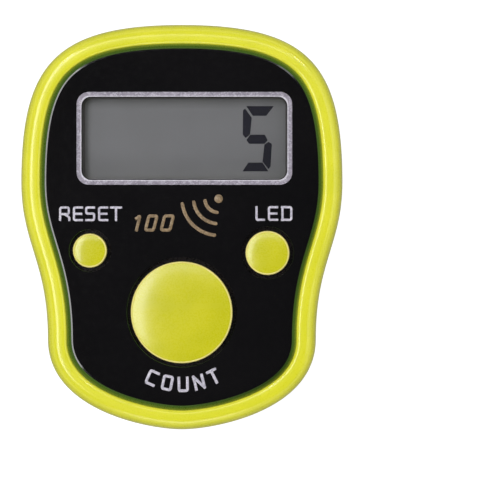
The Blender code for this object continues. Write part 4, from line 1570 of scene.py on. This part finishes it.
@dataclass
class Strap:
    """One silicone band, threaded under the rear bars and pegged to itself round the finger."""

    length: float = 105.0 * MM
    width: float = 10.0 * MM
    thickness: float = 1.0 * MM
    edge: float = 0.2 * MM
    y: float = 1.0 * MM
    layer_gap: float = 0.25 * MM
    depth: float = 17.5 * MM
    half_width: float = 9.6 * MM
    corner: float = 4.0 * MM
    bend: float = 1.8 * MM
    inner_end: float = 3.0 * MM
    in_case: float = 1.2 * MM
    tip_radius: float = 3.0 * MM
    tip_columns: float = 0.05
    hole_pitch: float = 3.5 * MM
    hole_radius: float = 1.0 * MM
    peg: Pair = (0.75 * MM, 1.25 * MM)
    peg_head: Pair = (0.1 * MM, 0.5 * MM)
    peg_round: Pair = (0.1, 0.2)
    peg_count: int = 2
    peg_from_tip: float = 2.6 * MM
    columns: int = 263
    rows: int = 11

    @property
    def layer(self) -> float:
        """How far apart the band's two layers lie."""
        return self.thickness + self.layer_gap

    def steps(self) -> list[tuple[float, float | None]]:
        """Returns the centre line as lengths and turn radii, from the inner end to the tail."""
        outer = self.corner + self.layer
        bottom = self.thickness / 2 + self.layer
        top = self.depth + self.in_case + self.thickness / 2
        side = top - self.bend - bottom - self.corner
        flat = 2 * self.half_width - self.corner - outer
        runs = (self.inner_end, flat, side, 2 * (self.half_width - self.bend), side, flat)
        corners = (self.corner, self.corner, self.bend, self.bend, outer, outer)
        steps: list[tuple[float, float | None]] = []
        for run, corner in zip(runs, corners):
            steps += [(run, None), (QUARTER_TURN * corner, corner)]
        return steps + [(self.length - sum(length for length, _ in steps), None)]

    def place(self, distance: float) -> tuple[float, float, float]:
        """Follows the centre line.

        Args:
            distance: The distance from the inner end.

        Returns:
            X, Z and the heading there.
        """
        x = -self.half_width + self.layer
        z = self.thickness / 2 + self.layer + self.corner + self.inner_end
        heading = -QUARTER_TURN
        for length, corner in self.steps():
            part = min(length, distance)
            if corner is None:
                x += part * math.cos(heading)
                z += part * math.sin(heading)
            else:
                turned_to = heading + part / corner
                x += corner * (math.sin(turned_to) - math.sin(heading))
                z -= corner * (math.cos(turned_to) - math.cos(heading))
                heading = turned_to
            distance -= part
            if distance <= 0:
                break
        return x, z, heading

    def half_width_at(self, distance: float) -> float:
        """Returns half the band's width, which is rounded off at both tips."""
        across = max(self.tip_radius - min(distance, self.length - distance), 0.0)
        return self.width / 2 - self.tip_radius + math.sqrt(max(self.tip_radius**2 - across**2, 0.0))

    def build(self) -> Piece:
        """Builds the band flat, punches it, adds its pegs, and wraps and dresses it."""
        band = self.flat_band()
        holes = self.hole_places()
        mouths = (circle(self.hole_radius, SMALL_SIDES, (x, 0.0)) for x in holes)
        combine(band, Cut.TAKE, *(prism(mouth, -self.thickness, self.thickness) for mouth in mouths))

        def on_rim(*ends: Vector) -> bool:
            """Whether an edge runs round the mouth of a hole."""
            level = abs(ends[0].z - ends[1].z) <= FUZZ and abs(abs(ends[0].z) - self.thickness / 2) <= FUZZ
            return level and all(
                min(abs((end.xy - Vector((x, 0.0))).length - self.hole_radius) for x in holes) < NEAR
                for end in ends
            )

        round_edges(band, on_rim, self.edge / 2, 3)
        pegs = (self.first_peg - number * self.hole_pitch for number in range(self.peg_count))
        combine(band, Cut.ADD, *(self.peg_solid(distance) for distance in pegs))
        self.wrap(band)
        return finish(band, "strap_band", SILICONE, "strap_silicone", "strap", angle=40.0)

    def flat_band(self) -> Piece:
        """Returns the band laid flat along X, with rounded tips and edges."""
        bpy.ops.object.select_all(action="DESELECT")
        bpy.ops.mesh.primitive_grid_add(
            x_subdivisions=self.columns, y_subdivisions=self.rows, size=1.0, location=(0.0, 0.0, 0.0)
        )
        band = newest()
        shortest = 0.02 * self.tip_radius
        for corner in band.data.vertices:
            distance = self.spread(corner.co.x + 0.5)
            reach = self.half_width_at(min(max(distance, shortest), self.length - shortest))
            corner.co = (distance, 2 * corner.co.y * reach, -self.thickness / 2)
        select(band, Part.FACE, lambda centre, normal: True)
        push(self.thickness)
        mode("OBJECT")
        straighten(band)

        def at_tip(end: Vector) -> bool:
            """Whether a point lies at one of the band's two ends."""
            return end.x < FUZZ or end.x > self.length - FUZZ

        def at_side(end: Vector) -> bool:
            """Whether a point lies on one of the band's two long sides."""
            return abs(abs(end.y) - self.half_width_at(end.x)) < 2 * NEAR

        def on_border(a: Vector, b: Vector) -> bool:
            """Whether an edge runs round the border of the band's upper or lower face."""
            outer = all(at_tip(end) or at_side(end) for end in (a, b))
            return outer and abs(a.z - b.z) < FUZZ and (abs(a.x - b.x) > FUZZ or at_tip(a))

        round_edges(band, on_border, self.edge, 4)
        return band

    def spread(self, share: float) -> float:
        """Returns a distance for a share of the columns, with more of them near both tips.

        Args:
            share: The share, from 0 to 1.

        Returns:
            The distance from the inner end.
        """
        if share > 0.5:
            return self.length - self.spread(1 - share)
        if share < self.tip_columns:
            return self.tip_radius * (1 - math.cos(QUARTER_TURN * share / self.tip_columns))
        middle = (share - self.tip_columns) / (1 - 2 * self.tip_columns)
        return self.tip_radius + middle * (self.length - 2 * self.tip_radius)

    @property
    def first_peg(self) -> float:
        """The distance of the peg nearest to the tail's tip."""
        return self.length - self.peg_from_tip

    def hole_places(self) -> list[float]:
        """Returns the distances of the holes, the first of which holds a peg."""
        lengths = [length for length, _ in self.steps()]
        hole = sum(lengths[:4]) + self.first_peg - sum(lengths[:-1])
        places = []
        while hole > self.hole_pitch:
            places.append(hole)
            hole -= self.hole_pitch
        return places

    def peg_solid(self, distance: float) -> Piece:
        """Returns one peg with its rounded head, on the band laid flat.

        Args:
            distance: Its distance from the inner end.

        Returns:
            The peg.
        """
        stem, head = self.peg
        gap, height = self.peg_head
        inset, rise = self.peg_round
        low, step = self.thickness / 2 + self.layer + gap, stem - head
        levels = [(0.0, 0.0), (0.0, low), (step, low), (step, low + rise * height)]
        levels += quarter(levels[-1], (inset * stem, low + height), 5, True)[1:]
        return stack(circle(stem, SMALL_SIDES, (distance, 0.0)), levels)

    def wrap(self, band: Piece) -> None:
        """Lays the flat band round its loop.

        Args:
            band: The band.
        """
        for corner in band.data.vertices:
            distance, across, inward = corner.co
            x, z, heading = self.place(min(max(distance, 0.0), self.length))
            corner.co = (x - inward * math.sin(heading), self.y + across, z + inward * math.cos(heading))
        band.data.update()


@dataclass(frozen=True)
class View:
    """The photograph's view: straight down, from above a point to the right of the case."""

    crest: float
    x: float = 5.81 * MM
    y: float = -1.95 * MM
    distance: float = 300.0 * MM
    frame_width: float = 42.4 * MM
    pixels: int = 500
    sensor: float = 36.0
    clip: Pair = (10.0 * MM, 10.0)

    def place(self, pixel: Pair, height: float) -> Vector:
        """Finds the point that a pixel of the photograph shows.

        Args:
            pixel: The column and row, from the top left.
            height: The height of the surface there.

        Returns:
            The point in plan.
        """
        size = self.frame_width / self.pixels * (self.crest + self.distance - height) / self.distance
        middle = self.pixels / 2
        return Vector((self.x + (pixel[0] - middle) * size, self.y - (pixel[1] - middle) * size))

    def camera(self) -> None:
        """Adds the camera."""
        eye = (self.x, self.y, self.crest + self.distance)
        bpy.ops.object.camera_add(location=eye, rotation=(0.0, 0.0, 0.0))
        camera = newest()
        camera.name = "camera"
        camera.data.sensor_width = self.sensor
        camera.data.lens = self.sensor * self.distance / self.frame_width
        camera.data.clip_start, camera.data.clip_end = self.clip
        bpy.context.scene.camera = camera


class Digit(Enum):
    """The five dark segments of a 5, in millimetres from the digit's lower left corner."""

    TOP = ((0.27, 5.55), (0.83, 4.72), (1.97, 4.72), (2.62, 5.55))
    UPPER_LEFT = ((-0.01, 5.20), (-0.03, 3.12), (0.22, 2.83), (0.60, 3.13), (0.74, 4.56), (0.17, 5.34))
    MIDDLE = ((0.28, 2.66), (0.52, 2.33), (1.83, 2.33), (2.10, 2.63), (1.86, 3.11), (0.62, 3.11))
    LOWER_RIGHT = ((2.17, 2.50), (1.82, 2.27), (1.66, 0.80), (2.17, 0.17), (2.35, 0.40), (2.46, 2.32))
    BOTTOM = ((-0.05, -0.02), (2.16, -0.02), (1.66, 0.73), (0.44, 0.73))


@dataclass
class Display:
    """The clear window, its printed outline with a painted highlight on its inner edge, and a dark ring of
    painted shade and the digit on the cell under it.
    """

    datum: Datum
    view: View
    print_width: float = 0.47 * MM
    print_corner: float = 1.05 * MM
    highlight_width: float = 0.15 * MM
    # How far the painted highlight on the outline's inner edge reaches from the window.
    ink: float = 0.02 * MM
    # Widths of the painted shade on the left, lower, right and upper sides, widest on the left.
    shade_sides: tuple[float, float, float, float] = (0.20 * MM, 0.04 * MM, 0.12 * MM, 0.11 * MM)
    shade_corner: float = 0.55 * MM
    pane_edge: float = 0.05 * MM
    print_start: float = 0.06 * MM
    segment_rise: float = 0.012 * MM
    segment_corner: float = 0.04 * MM
    digit_pixel: Pair = (243.1, 171.1)

    def build(self) -> None:
        """Builds and dresses the display's new pieces."""
        datum = self.datum
        self.ring("window_outline", self.print_width, self.ink, SILVER_INK)
        # A brighter ring of ink, a painted highlight along the outline's inner edge.
        self.ring("window_outline_highlight", self.highlight_width, 1.5 * self.ink, SILVER_HIGHLIGHT)
        top = datum.plate_top
        levels = [(0.0, datum.plate_low), (0.0, top - self.pane_edge), (self.pane_edge, top)]
        pane = stack(datum.window(-datum.window_fit), levels)
        finish(pane, "window_pane", CLEAR_ACRYLIC, "window", "display_window", angle=20.0)
        self.mask()
        self.segments()

    def ring(self, name: str, print_width: float, ink: float, used: Ink) -> None:
        """Builds a line printed round the window.

        Args:
            name: The piece's name.
            print_width: How far it reaches out from the window.
            ink: The thickness of the ink.
            used: The ink.
        """
        datum = self.datum
        top = datum.plate_top
        width, height = (side + 2 * print_width for side in datum.window_size)
        corner = self.print_corner - self.print_width + print_width
        outer = rounded_rectangle(datum.window_centre, width, height, corner)
        printed = stack(outer, [(0.0, top - self.ink), (0.0, top + ink / 2), (ink / 2, top + ink)])
        combine(printed, Cut.TAKE, prism(datum.window(self.print_start), datum.plate_low, datum.crest))
        finish(printed, name, used, "faceplate", angle=20.0)

    @property
    def on_film(self) -> Pair:
        """The underside and the top of what lies a hair above the cell's front film."""
        return self.datum.film_top + self.segment_rise / 4, self.datum.film_top + self.segment_rise

    def mask(self) -> None:
        """Builds a dark ring on the cell's front film, painted shade where the window's edge shades it,
        widest on the left.
        """
        datum = self.datum
        left, low, right, high = self.shade_sides
        (width, height), (x, y) = datum.window_size, datum.window_centre
        border = prism(datum.window(2 * datum.window_fit), *self.on_film)
        centre = (x + (left - right) / 2, y + (low - high) / 2)
        clear = rounded_rectangle(centre, width - left - right, height - low - high, self.shade_corner)
        combine(border, Cut.TAKE, prism(clear, datum.film_top - self.ink, datum.film_top + self.ink))
        finish(border, "film_edge_shade", LCD_EDGE_SHADE, "polarizer", angle=20.0)

    def segments(self) -> None:
        """Builds the digit's segments."""
        corner = self.view.place(self.digit_pixel, self.datum.film_top)
        for segment in Digit:
            bar = prism([corner + MM * Vector(point) for point in segment.value], *self.on_film)
            round_edges(bar, lambda a, b: abs(a.z - b.z) > FUZZ, self.segment_corner, 4)
            finish(bar, f"segment_{segment.name.lower()}", LCD_SEGMENT, "polarizer", angle=20.0)


Glyph = Sequence[tuple[Sequence[Pair], bool]]
GLYPHS: dict[str, Glyph] = {
    "R": [
        ([(0, 0), (0, 1), (0.95, 1), (0.95, 0.48), (0, 0.48)], False),
        ([(0.5, 0.46), (1, 0.22), (1, 0)], False),
    ],
    "E": [([(1, 1), (0, 1), (0, 0), (1, 0)], False), ([(0, 0.5), (0.9, 0.5)], False)],
    "S": [([(1, 1), (0, 1), (0, 0.52), (1, 0.52), (1, 0), (0, 0)], False)],
    "T": [([(0, 1), (1, 1)], False), ([(0.5, 1), (0.5, 0)], False)],
    "L": [([(0, 1), (0, 0), (1, 0)], False)],
    "D": [([(0, 1), (1, 1), (1, 0), (0, 0)], False), ([(0.06, -0.02), (0.06, 1.02)], False)],
    "C": [([(1, 1), (0, 1), (0, 0), (1, 0)], False)],
    "O": [([(0, 0), (0, 1), (1, 1), (1, 0)], True)],
    "U": [([(0, 1), (0, 0), (1, 0), (1, 1)], False)],
    "N": [([(0, 0), (0, 1)], False), ([(0, 1), (1, 0)], False), ([(1, 0), (1, 1)], False)],
    "1": [([(0.1, 0.82), (0.8, 1), (0.8, 0)], False)],
    "0": [([(0, 0), (0, 1), (1, 1), (1, 0)], True)],
}


@dataclass(frozen=True)
class Word:
    """A straight word, with the pixels of the photograph that its letters fill."""

    name: str
    text: str
    columns: tuple[Pair, ...]
    rows: Pair
    stroke: float
    ink: Ink
    slant: float = 0.0


WORDS = (
    Word(
        "label_reset", "RESET", ((59.0, 70.4), (72.8, 83.2), (85.0, 95.2), (98.0, 108.4), (109.8, 122.2)),
        (206.4, 221.2), 0.19 * MM, SILVER_LABEL,
    ),
    Word(
        "label_light", "LED", ((255.4, 265.2), (267.8, 278.4), (280.8, 292.4)),
        (206.1, 220.9), 0.19 * MM, SILVER_LABEL,
    ),
    Word(
        "label_hundred", "100", ((131.6, 138.8), (143.8, 155.0), (159.6, 171.4)),
        (214.4, 231.6), 0.26 * MM, GOLD_INK, 0.25,
    ),
)


@dataclass
class Legend:
    """Plain function words, a number and a signal mark, drawn in strokes and printed on the plate."""

    datum: Datum
    view: View
    end_shares: tuple[float, ...] = (0.12, 0.35, 0.65)
    end_rounding: float = 0.35
    ink: float = 0.02 * MM
    corner: float = 0.17
    corner_steps: int = 6
    arch_stroke: float = 0.235 * MM
    arch_radius: float = 6.12 * MM
    arch_pitch: float = 12.7
    arch_start: float = -24.2
    arch_letter: Pair = (0.72 * MM, 1.10 * MM)
    mark_stroke: float = 0.29 * MM
    mark_pixel: Pair = (218.6, 198.7)
    mark_dot: float = 0.36 * MM
    mark_radii: tuple[float, float, float] = (1.17 * MM, 2.13 * MM, 3.12 * MM)
    mark_span: Pair = (188.0, 263.5)

    def build(self) -> None:
        """Builds and dresses the printed words and marks."""
        for word in WORDS:
            self.straight(word)
        self.arched("label_count", "COUNT")
        self.signal()

    def straight(self, word: Word) -> None:
        """Prints one straight word.

        Args:
            word: The word.
        """
        edge = Vector((word.stroke, word.stroke)) / 2
        made = []
        for letter, (left, right) in zip(word.text, word.columns):
            low = self.view.place((left, word.rows[1]), self.datum.plate_top) + edge
            size = self.view.place((right, word.rows[0]), self.datum.plate_top) - edge - low
            up = Vector((word.slant * size.y, size.y))
            made += self.letter(GLYPHS[letter], low, Vector((size.x, 0.0)), up, word.stroke)
        self.printed(made, word.name, word.ink)

    def arched(self, name: str, text: str) -> None:
        """Prints the word that follows the lower edge of the big button.

        Args:
            name: The piece's name.
            text: The word.
        """
        width, height = self.arch_letter
        made = []
        for number, letter in enumerate(text):
            turn = math.radians(self.arch_start + number * self.arch_pitch)
            down = Vector((math.sin(turn), -math.cos(turn)))
            right = Vector((math.cos(turn), math.sin(turn)))
            low = Vector(axis(COUNT.node)) + down * (self.arch_radius + height / 2) - right * width / 2
            made += self.letter(GLYPHS[letter], low, right * width, -down * height, self.arch_stroke)
        self.printed(made, name, SILVER_LABEL)

    def signal(self) -> None:
        """Prints the signal mark: a dot and three arcs round it."""
        top = self.datum.plate_top
        centre = self.view.place(self.mark_pixel, top)
        start, end = (math.radians(angle) for angle in self.mark_span)
        paths = (arc(centre, radius, start, end, steps=24) for radius in self.mark_radii)
        made = [self.bead(path, self.mark_stroke, False, 1.0) for path in paths]
        levels = [(0.0, top - self.ink), (0.0, top + self.ink / 2), (self.ink, top + self.ink)]
        made.append(stack(circle(self.mark_dot, SMALL_SIDES, centre), levels))
        self.printed(made, "mark_signal", GOLD_INK)

    def letter(self, glyph: Glyph, low: Vector, right: Vector, up: Vector, width: float) -> list[Piece]:
        """Draws one letter.

        Args:
            glyph: Its strokes in a square of side 1.
            low: Where the square's lower left corner lies on the plate.
            right: The square's lower side.
            up: The square's left side.
            width: The stroke's width.

        Returns:
            One object for each stroke.
        """
        made = []
        for corners, closed in glyph:
            path = [low + right * point.x + up * point.y for point in self.along(corners, closed)]
            made.append(self.bead(path, width, closed, self.end_rounding))
        return made

    def along(self, corners: Sequence[Pair], closed: bool) -> list[Vector]:
        """Returns a path through corners, with every bend rounded off.

        Args:
            corners: The corners.
            closed: Whether the path returns to its start.

        Returns:
            Its points.
        """
        points = [Vector(corner) for corner in corners]
        path: list[Vector] = []
        for i, point in enumerate(points):
            if not closed and i in (0, len(points) - 1):
                path.append(point)
                continue
            before, after = points[i - 1] - point, points[(i + 1) % len(points)] - point
            reach = min(self.corner, before.length / 2, after.length / 2)
            start, end = point + before.normalized() * reach, point + after.normalized() * reach
            for step in range(self.corner_steps + 1):
                t = step / self.corner_steps
                path.append(start * (1 - t) ** 2 + point * 2 * t * (1 - t) + end * t**2)
        return path

    def bead(self, path: Sequence[Vector], width: float, closed: bool, rounding: float) -> Piece:
        """Draws one stroke of ink.

        Args:
            path: Its centre line.
            width: Its width.
            closed: Whether it returns to its start.
            rounding: How round its ends are, from square at 0 to a half circle at 1.

        Returns:
            A flat bead on the plate.
        """
        radii = [1.0] * len(path)
        if not closed:
            path, radii = self.round_ends(path, width / 2, rounding)
        bpy.ops.object.select_all(action="DESELECT")
        bpy.ops.curve.primitive_bezier_curve_add(location=(0.0, 0.0, 0.0))
        line = newest()
        line.data.splines.clear()
        line.data.dimensions = "3D"
        spline = line.data.splines.new("POLY")
        spline.points.add(len(path) - 1)
        spline.use_cyclic_u = closed
        for corner, point, radius in zip(spline.points, path, radii):
            corner.co, corner.radius = (point[0], point[1], 0.0, 1.0), radius
        line.data.bevel_depth, line.data.bevel_resolution = width / 2, 3
        line.data.use_fill_caps = True
        pick(line)
        bpy.ops.object.convert(target="MESH")
        flat = newest()
        for corner in flat.data.vertices:
            corner.co.z = self.datum.plate_top + corner.co.z * self.ink / (width / 2)
        return flat

    def round_ends(
        self, path: Sequence[Vector], radius: float, rounding: float
    ) -> tuple[list[Vector], list[float]]:
        """Adds points at both ends, where the stroke narrows.

        Args:
            path: The centre line.
            radius: Half the stroke's width.
            rounding: How round the ends are, from square at 0 to a half circle at 1.

        Returns:
            The points and the share of the width at each.
        """
        points = list(path)
        for _ in range(2):
            points.reverse()
            outward = (points[0] - points[1]).normalized()
            points = [points[0] + outward * radius * (1 - share) for share in self.end_shares] + points
        narrowed = [1 - rounding * (1 - math.sqrt(1 - (1 - share) ** 2)) for share in self.end_shares]
        return points, narrowed + [1.0] * len(path) + narrowed[::-1]

    def printed(self, made: Sequence[Piece], name: str, ink: Ink) -> None:
        """Joins the strokes of one label and dresses it.

        Args:
            made: The strokes.
            name: The piece's name.
            ink: The ink.
        """
        pick(made[0])
        for piece in made[1:]:
            piece.select_set(True)
        bpy.ops.object.join()
        finish(made[0], name, ink, "faceplate", angle=60.0)


@dataclass(frozen=True)
class Lamp:
    """A flat softbox that faces a point on the case; its angles are in degrees."""

    name: str
    azimuth: float
    elevation: float
    distance: float
    size: Pair
    power: float

    def add(self, target: Vector) -> None:
        """Adds the lamp.

        Args:
            target: The point that it faces.
        """
        turn, rise = math.radians(self.azimuth), math.radians(self.elevation)
        away = Vector((math.cos(turn) * math.cos(rise), math.sin(turn) * math.cos(rise), math.sin(rise)))
        bpy.ops.object.light_add(type="AREA", location=target + away * self.distance)
        lamp = newest()
        lamp.name = self.name
        lamp.rotation_euler = (-away).to_track_quat("-Z", "Y").to_euler()
        lamp.data.shape, lamp.data.energy = "RECTANGLE", self.power
        lamp.data.size, lamp.data.size_y = self.size


@dataclass
class Studio:
    """The white floor, the pale surroundings and the lamps."""

    crest: float
    floor_size: float = 3.0
    floor_color: Color = (0.30, 0.30, 0.30)
    floor_grit: float = 0.985
    grit_scale: float = 400.0
    sky_range: Pair = (0.05, 0.75)
    floor_lift: float = 0.90
    floor_roughness: float = 0.9
    floor_specular: float = 0.1
    zenith: Color = (0.05, 0.05, 0.052)
    horizon: Color = (1.05, 1.05, 1.05)
    lamps: tuple[Lamp, ...] = (
        Lamp("lamp_left", 172.0, 68.0, 0.60, (0.45, 0.16), 1.55),
        Lamp("lamp_right", 8.0, 42.0, 0.70, (0.45, 0.35), 0.7),
        Lamp("lamp_top", 90.0, 70.0, 0.70, (0.45, 0.12), 0.5),
        Lamp("lamp_bottom", 270.0, 35.0, 0.70, (0.40, 0.20), 0.9),
        Lamp("glint_left", 128.0, 50.0, 0.50, (0.03, 0.03), 0.22),
        Lamp("glint_right", 52.0, 50.0, 0.50, (0.03, 0.03), 0.20),
    )

    def build(self) -> None:
        """Builds the floor, the world and the lamps, and sets the view's colours."""
        bpy.ops.mesh.primitive_plane_add(size=self.floor_size, location=(0.0, 0.0, 0.0))
        floor = newest()
        floor.name = "floor"
        floor.data.materials.append(self.floor_material())
        self.world()
        for lamp in self.lamps:
            lamp.add(Vector((0.0, 0.0, self.crest)))
        bpy.context.scene.view_settings.view_transform = "Standard"

    def floor_material(self) -> bpy.types.Material:
        """Returns the floor's paint, which the camera sees as white but for the shadow."""
        made = bpy.data.materials.new("floor_white")
        made.use_nodes = True
        graph = Graph(made.node_tree)
        inputs = graph.shader.inputs
        grit = graph.noise(graph.add("ShaderNodeTexCoord").outputs["Object"], self.grit_scale, detail=3.0)
        tone = graph.mix(grit, self.floor_color, tuple(self.floor_grit * part for part in self.floor_color))
        graph.feed(inputs["Base Color"], tone)
        for socket, value in (
            ("Roughness", self.floor_roughness),
            ("Specular IOR Level", self.floor_specular),
            ("Emission Color", (1.0, 1.0, 1.0, 1.0)),
        ):
            inputs[socket].default_value = value
        seen = graph.add("ShaderNodeLightPath").outputs["Is Camera Ray"]
        graph.feed(inputs["Emission Strength"], graph.math("MULTIPLY", seen, self.floor_lift))
        return made

    def world(self) -> None:
        """Sets the surroundings: darker overhead, pale towards the horizon."""
        world = bpy.data.worlds.new("studio")
        world.use_nodes = True
        bpy.context.scene.world = world
        graph = Graph(world.node_tree)
        split = graph.add("ShaderNodeSeparateXYZ")
        graph.feed(split.inputs[0], graph.add("ShaderNodeTexCoord").outputs["Generated"])
        tone = graph.mix(graph.ramp(split.outputs[2], *self.sky_range), self.horizon, self.zenith)
        graph.feed(world.node_tree.nodes["Background"].inputs["Color"], tone)


def dress(nodes: dict[str, Piece]) -> None:
    """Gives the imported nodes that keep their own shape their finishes.

    Args:
        nodes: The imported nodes' objects by name.
    """
    for used, names in DRESSES.items():
        for name in names:
            for place in nodes[name].material_slots:
                place.material = used.material()
            log.info("%s: %s", name, used.name)


def main() -> None:
    """Builds the counter's looks in order."""
    logging.basicConfig(level=logging.INFO, format="%(name)s %(message)s")
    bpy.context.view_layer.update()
    datum = Datum()
    view = View(datum.crest)
    view.camera()
    FrontShell(datum).build()
    FacePlate(datum).build()
    for place in BUTTONS:
        PushButton(place).build()
    RearCover(datum).build()
    BatteryDoor(datum).build()
    for number in range(1, 5):
        Screw(f"case_screw_{number}").build()
    Screw("door_screw", 0.45 * MM, 0.85 * MM, 0.35 * MM).build()
    Strap().build()
    Display(datum, view).build()
    Legend(datum, view).build()
    dress(frame["nodes"])
    Studio(datum.crest).build()


if __name__ == "__main__":
    main()
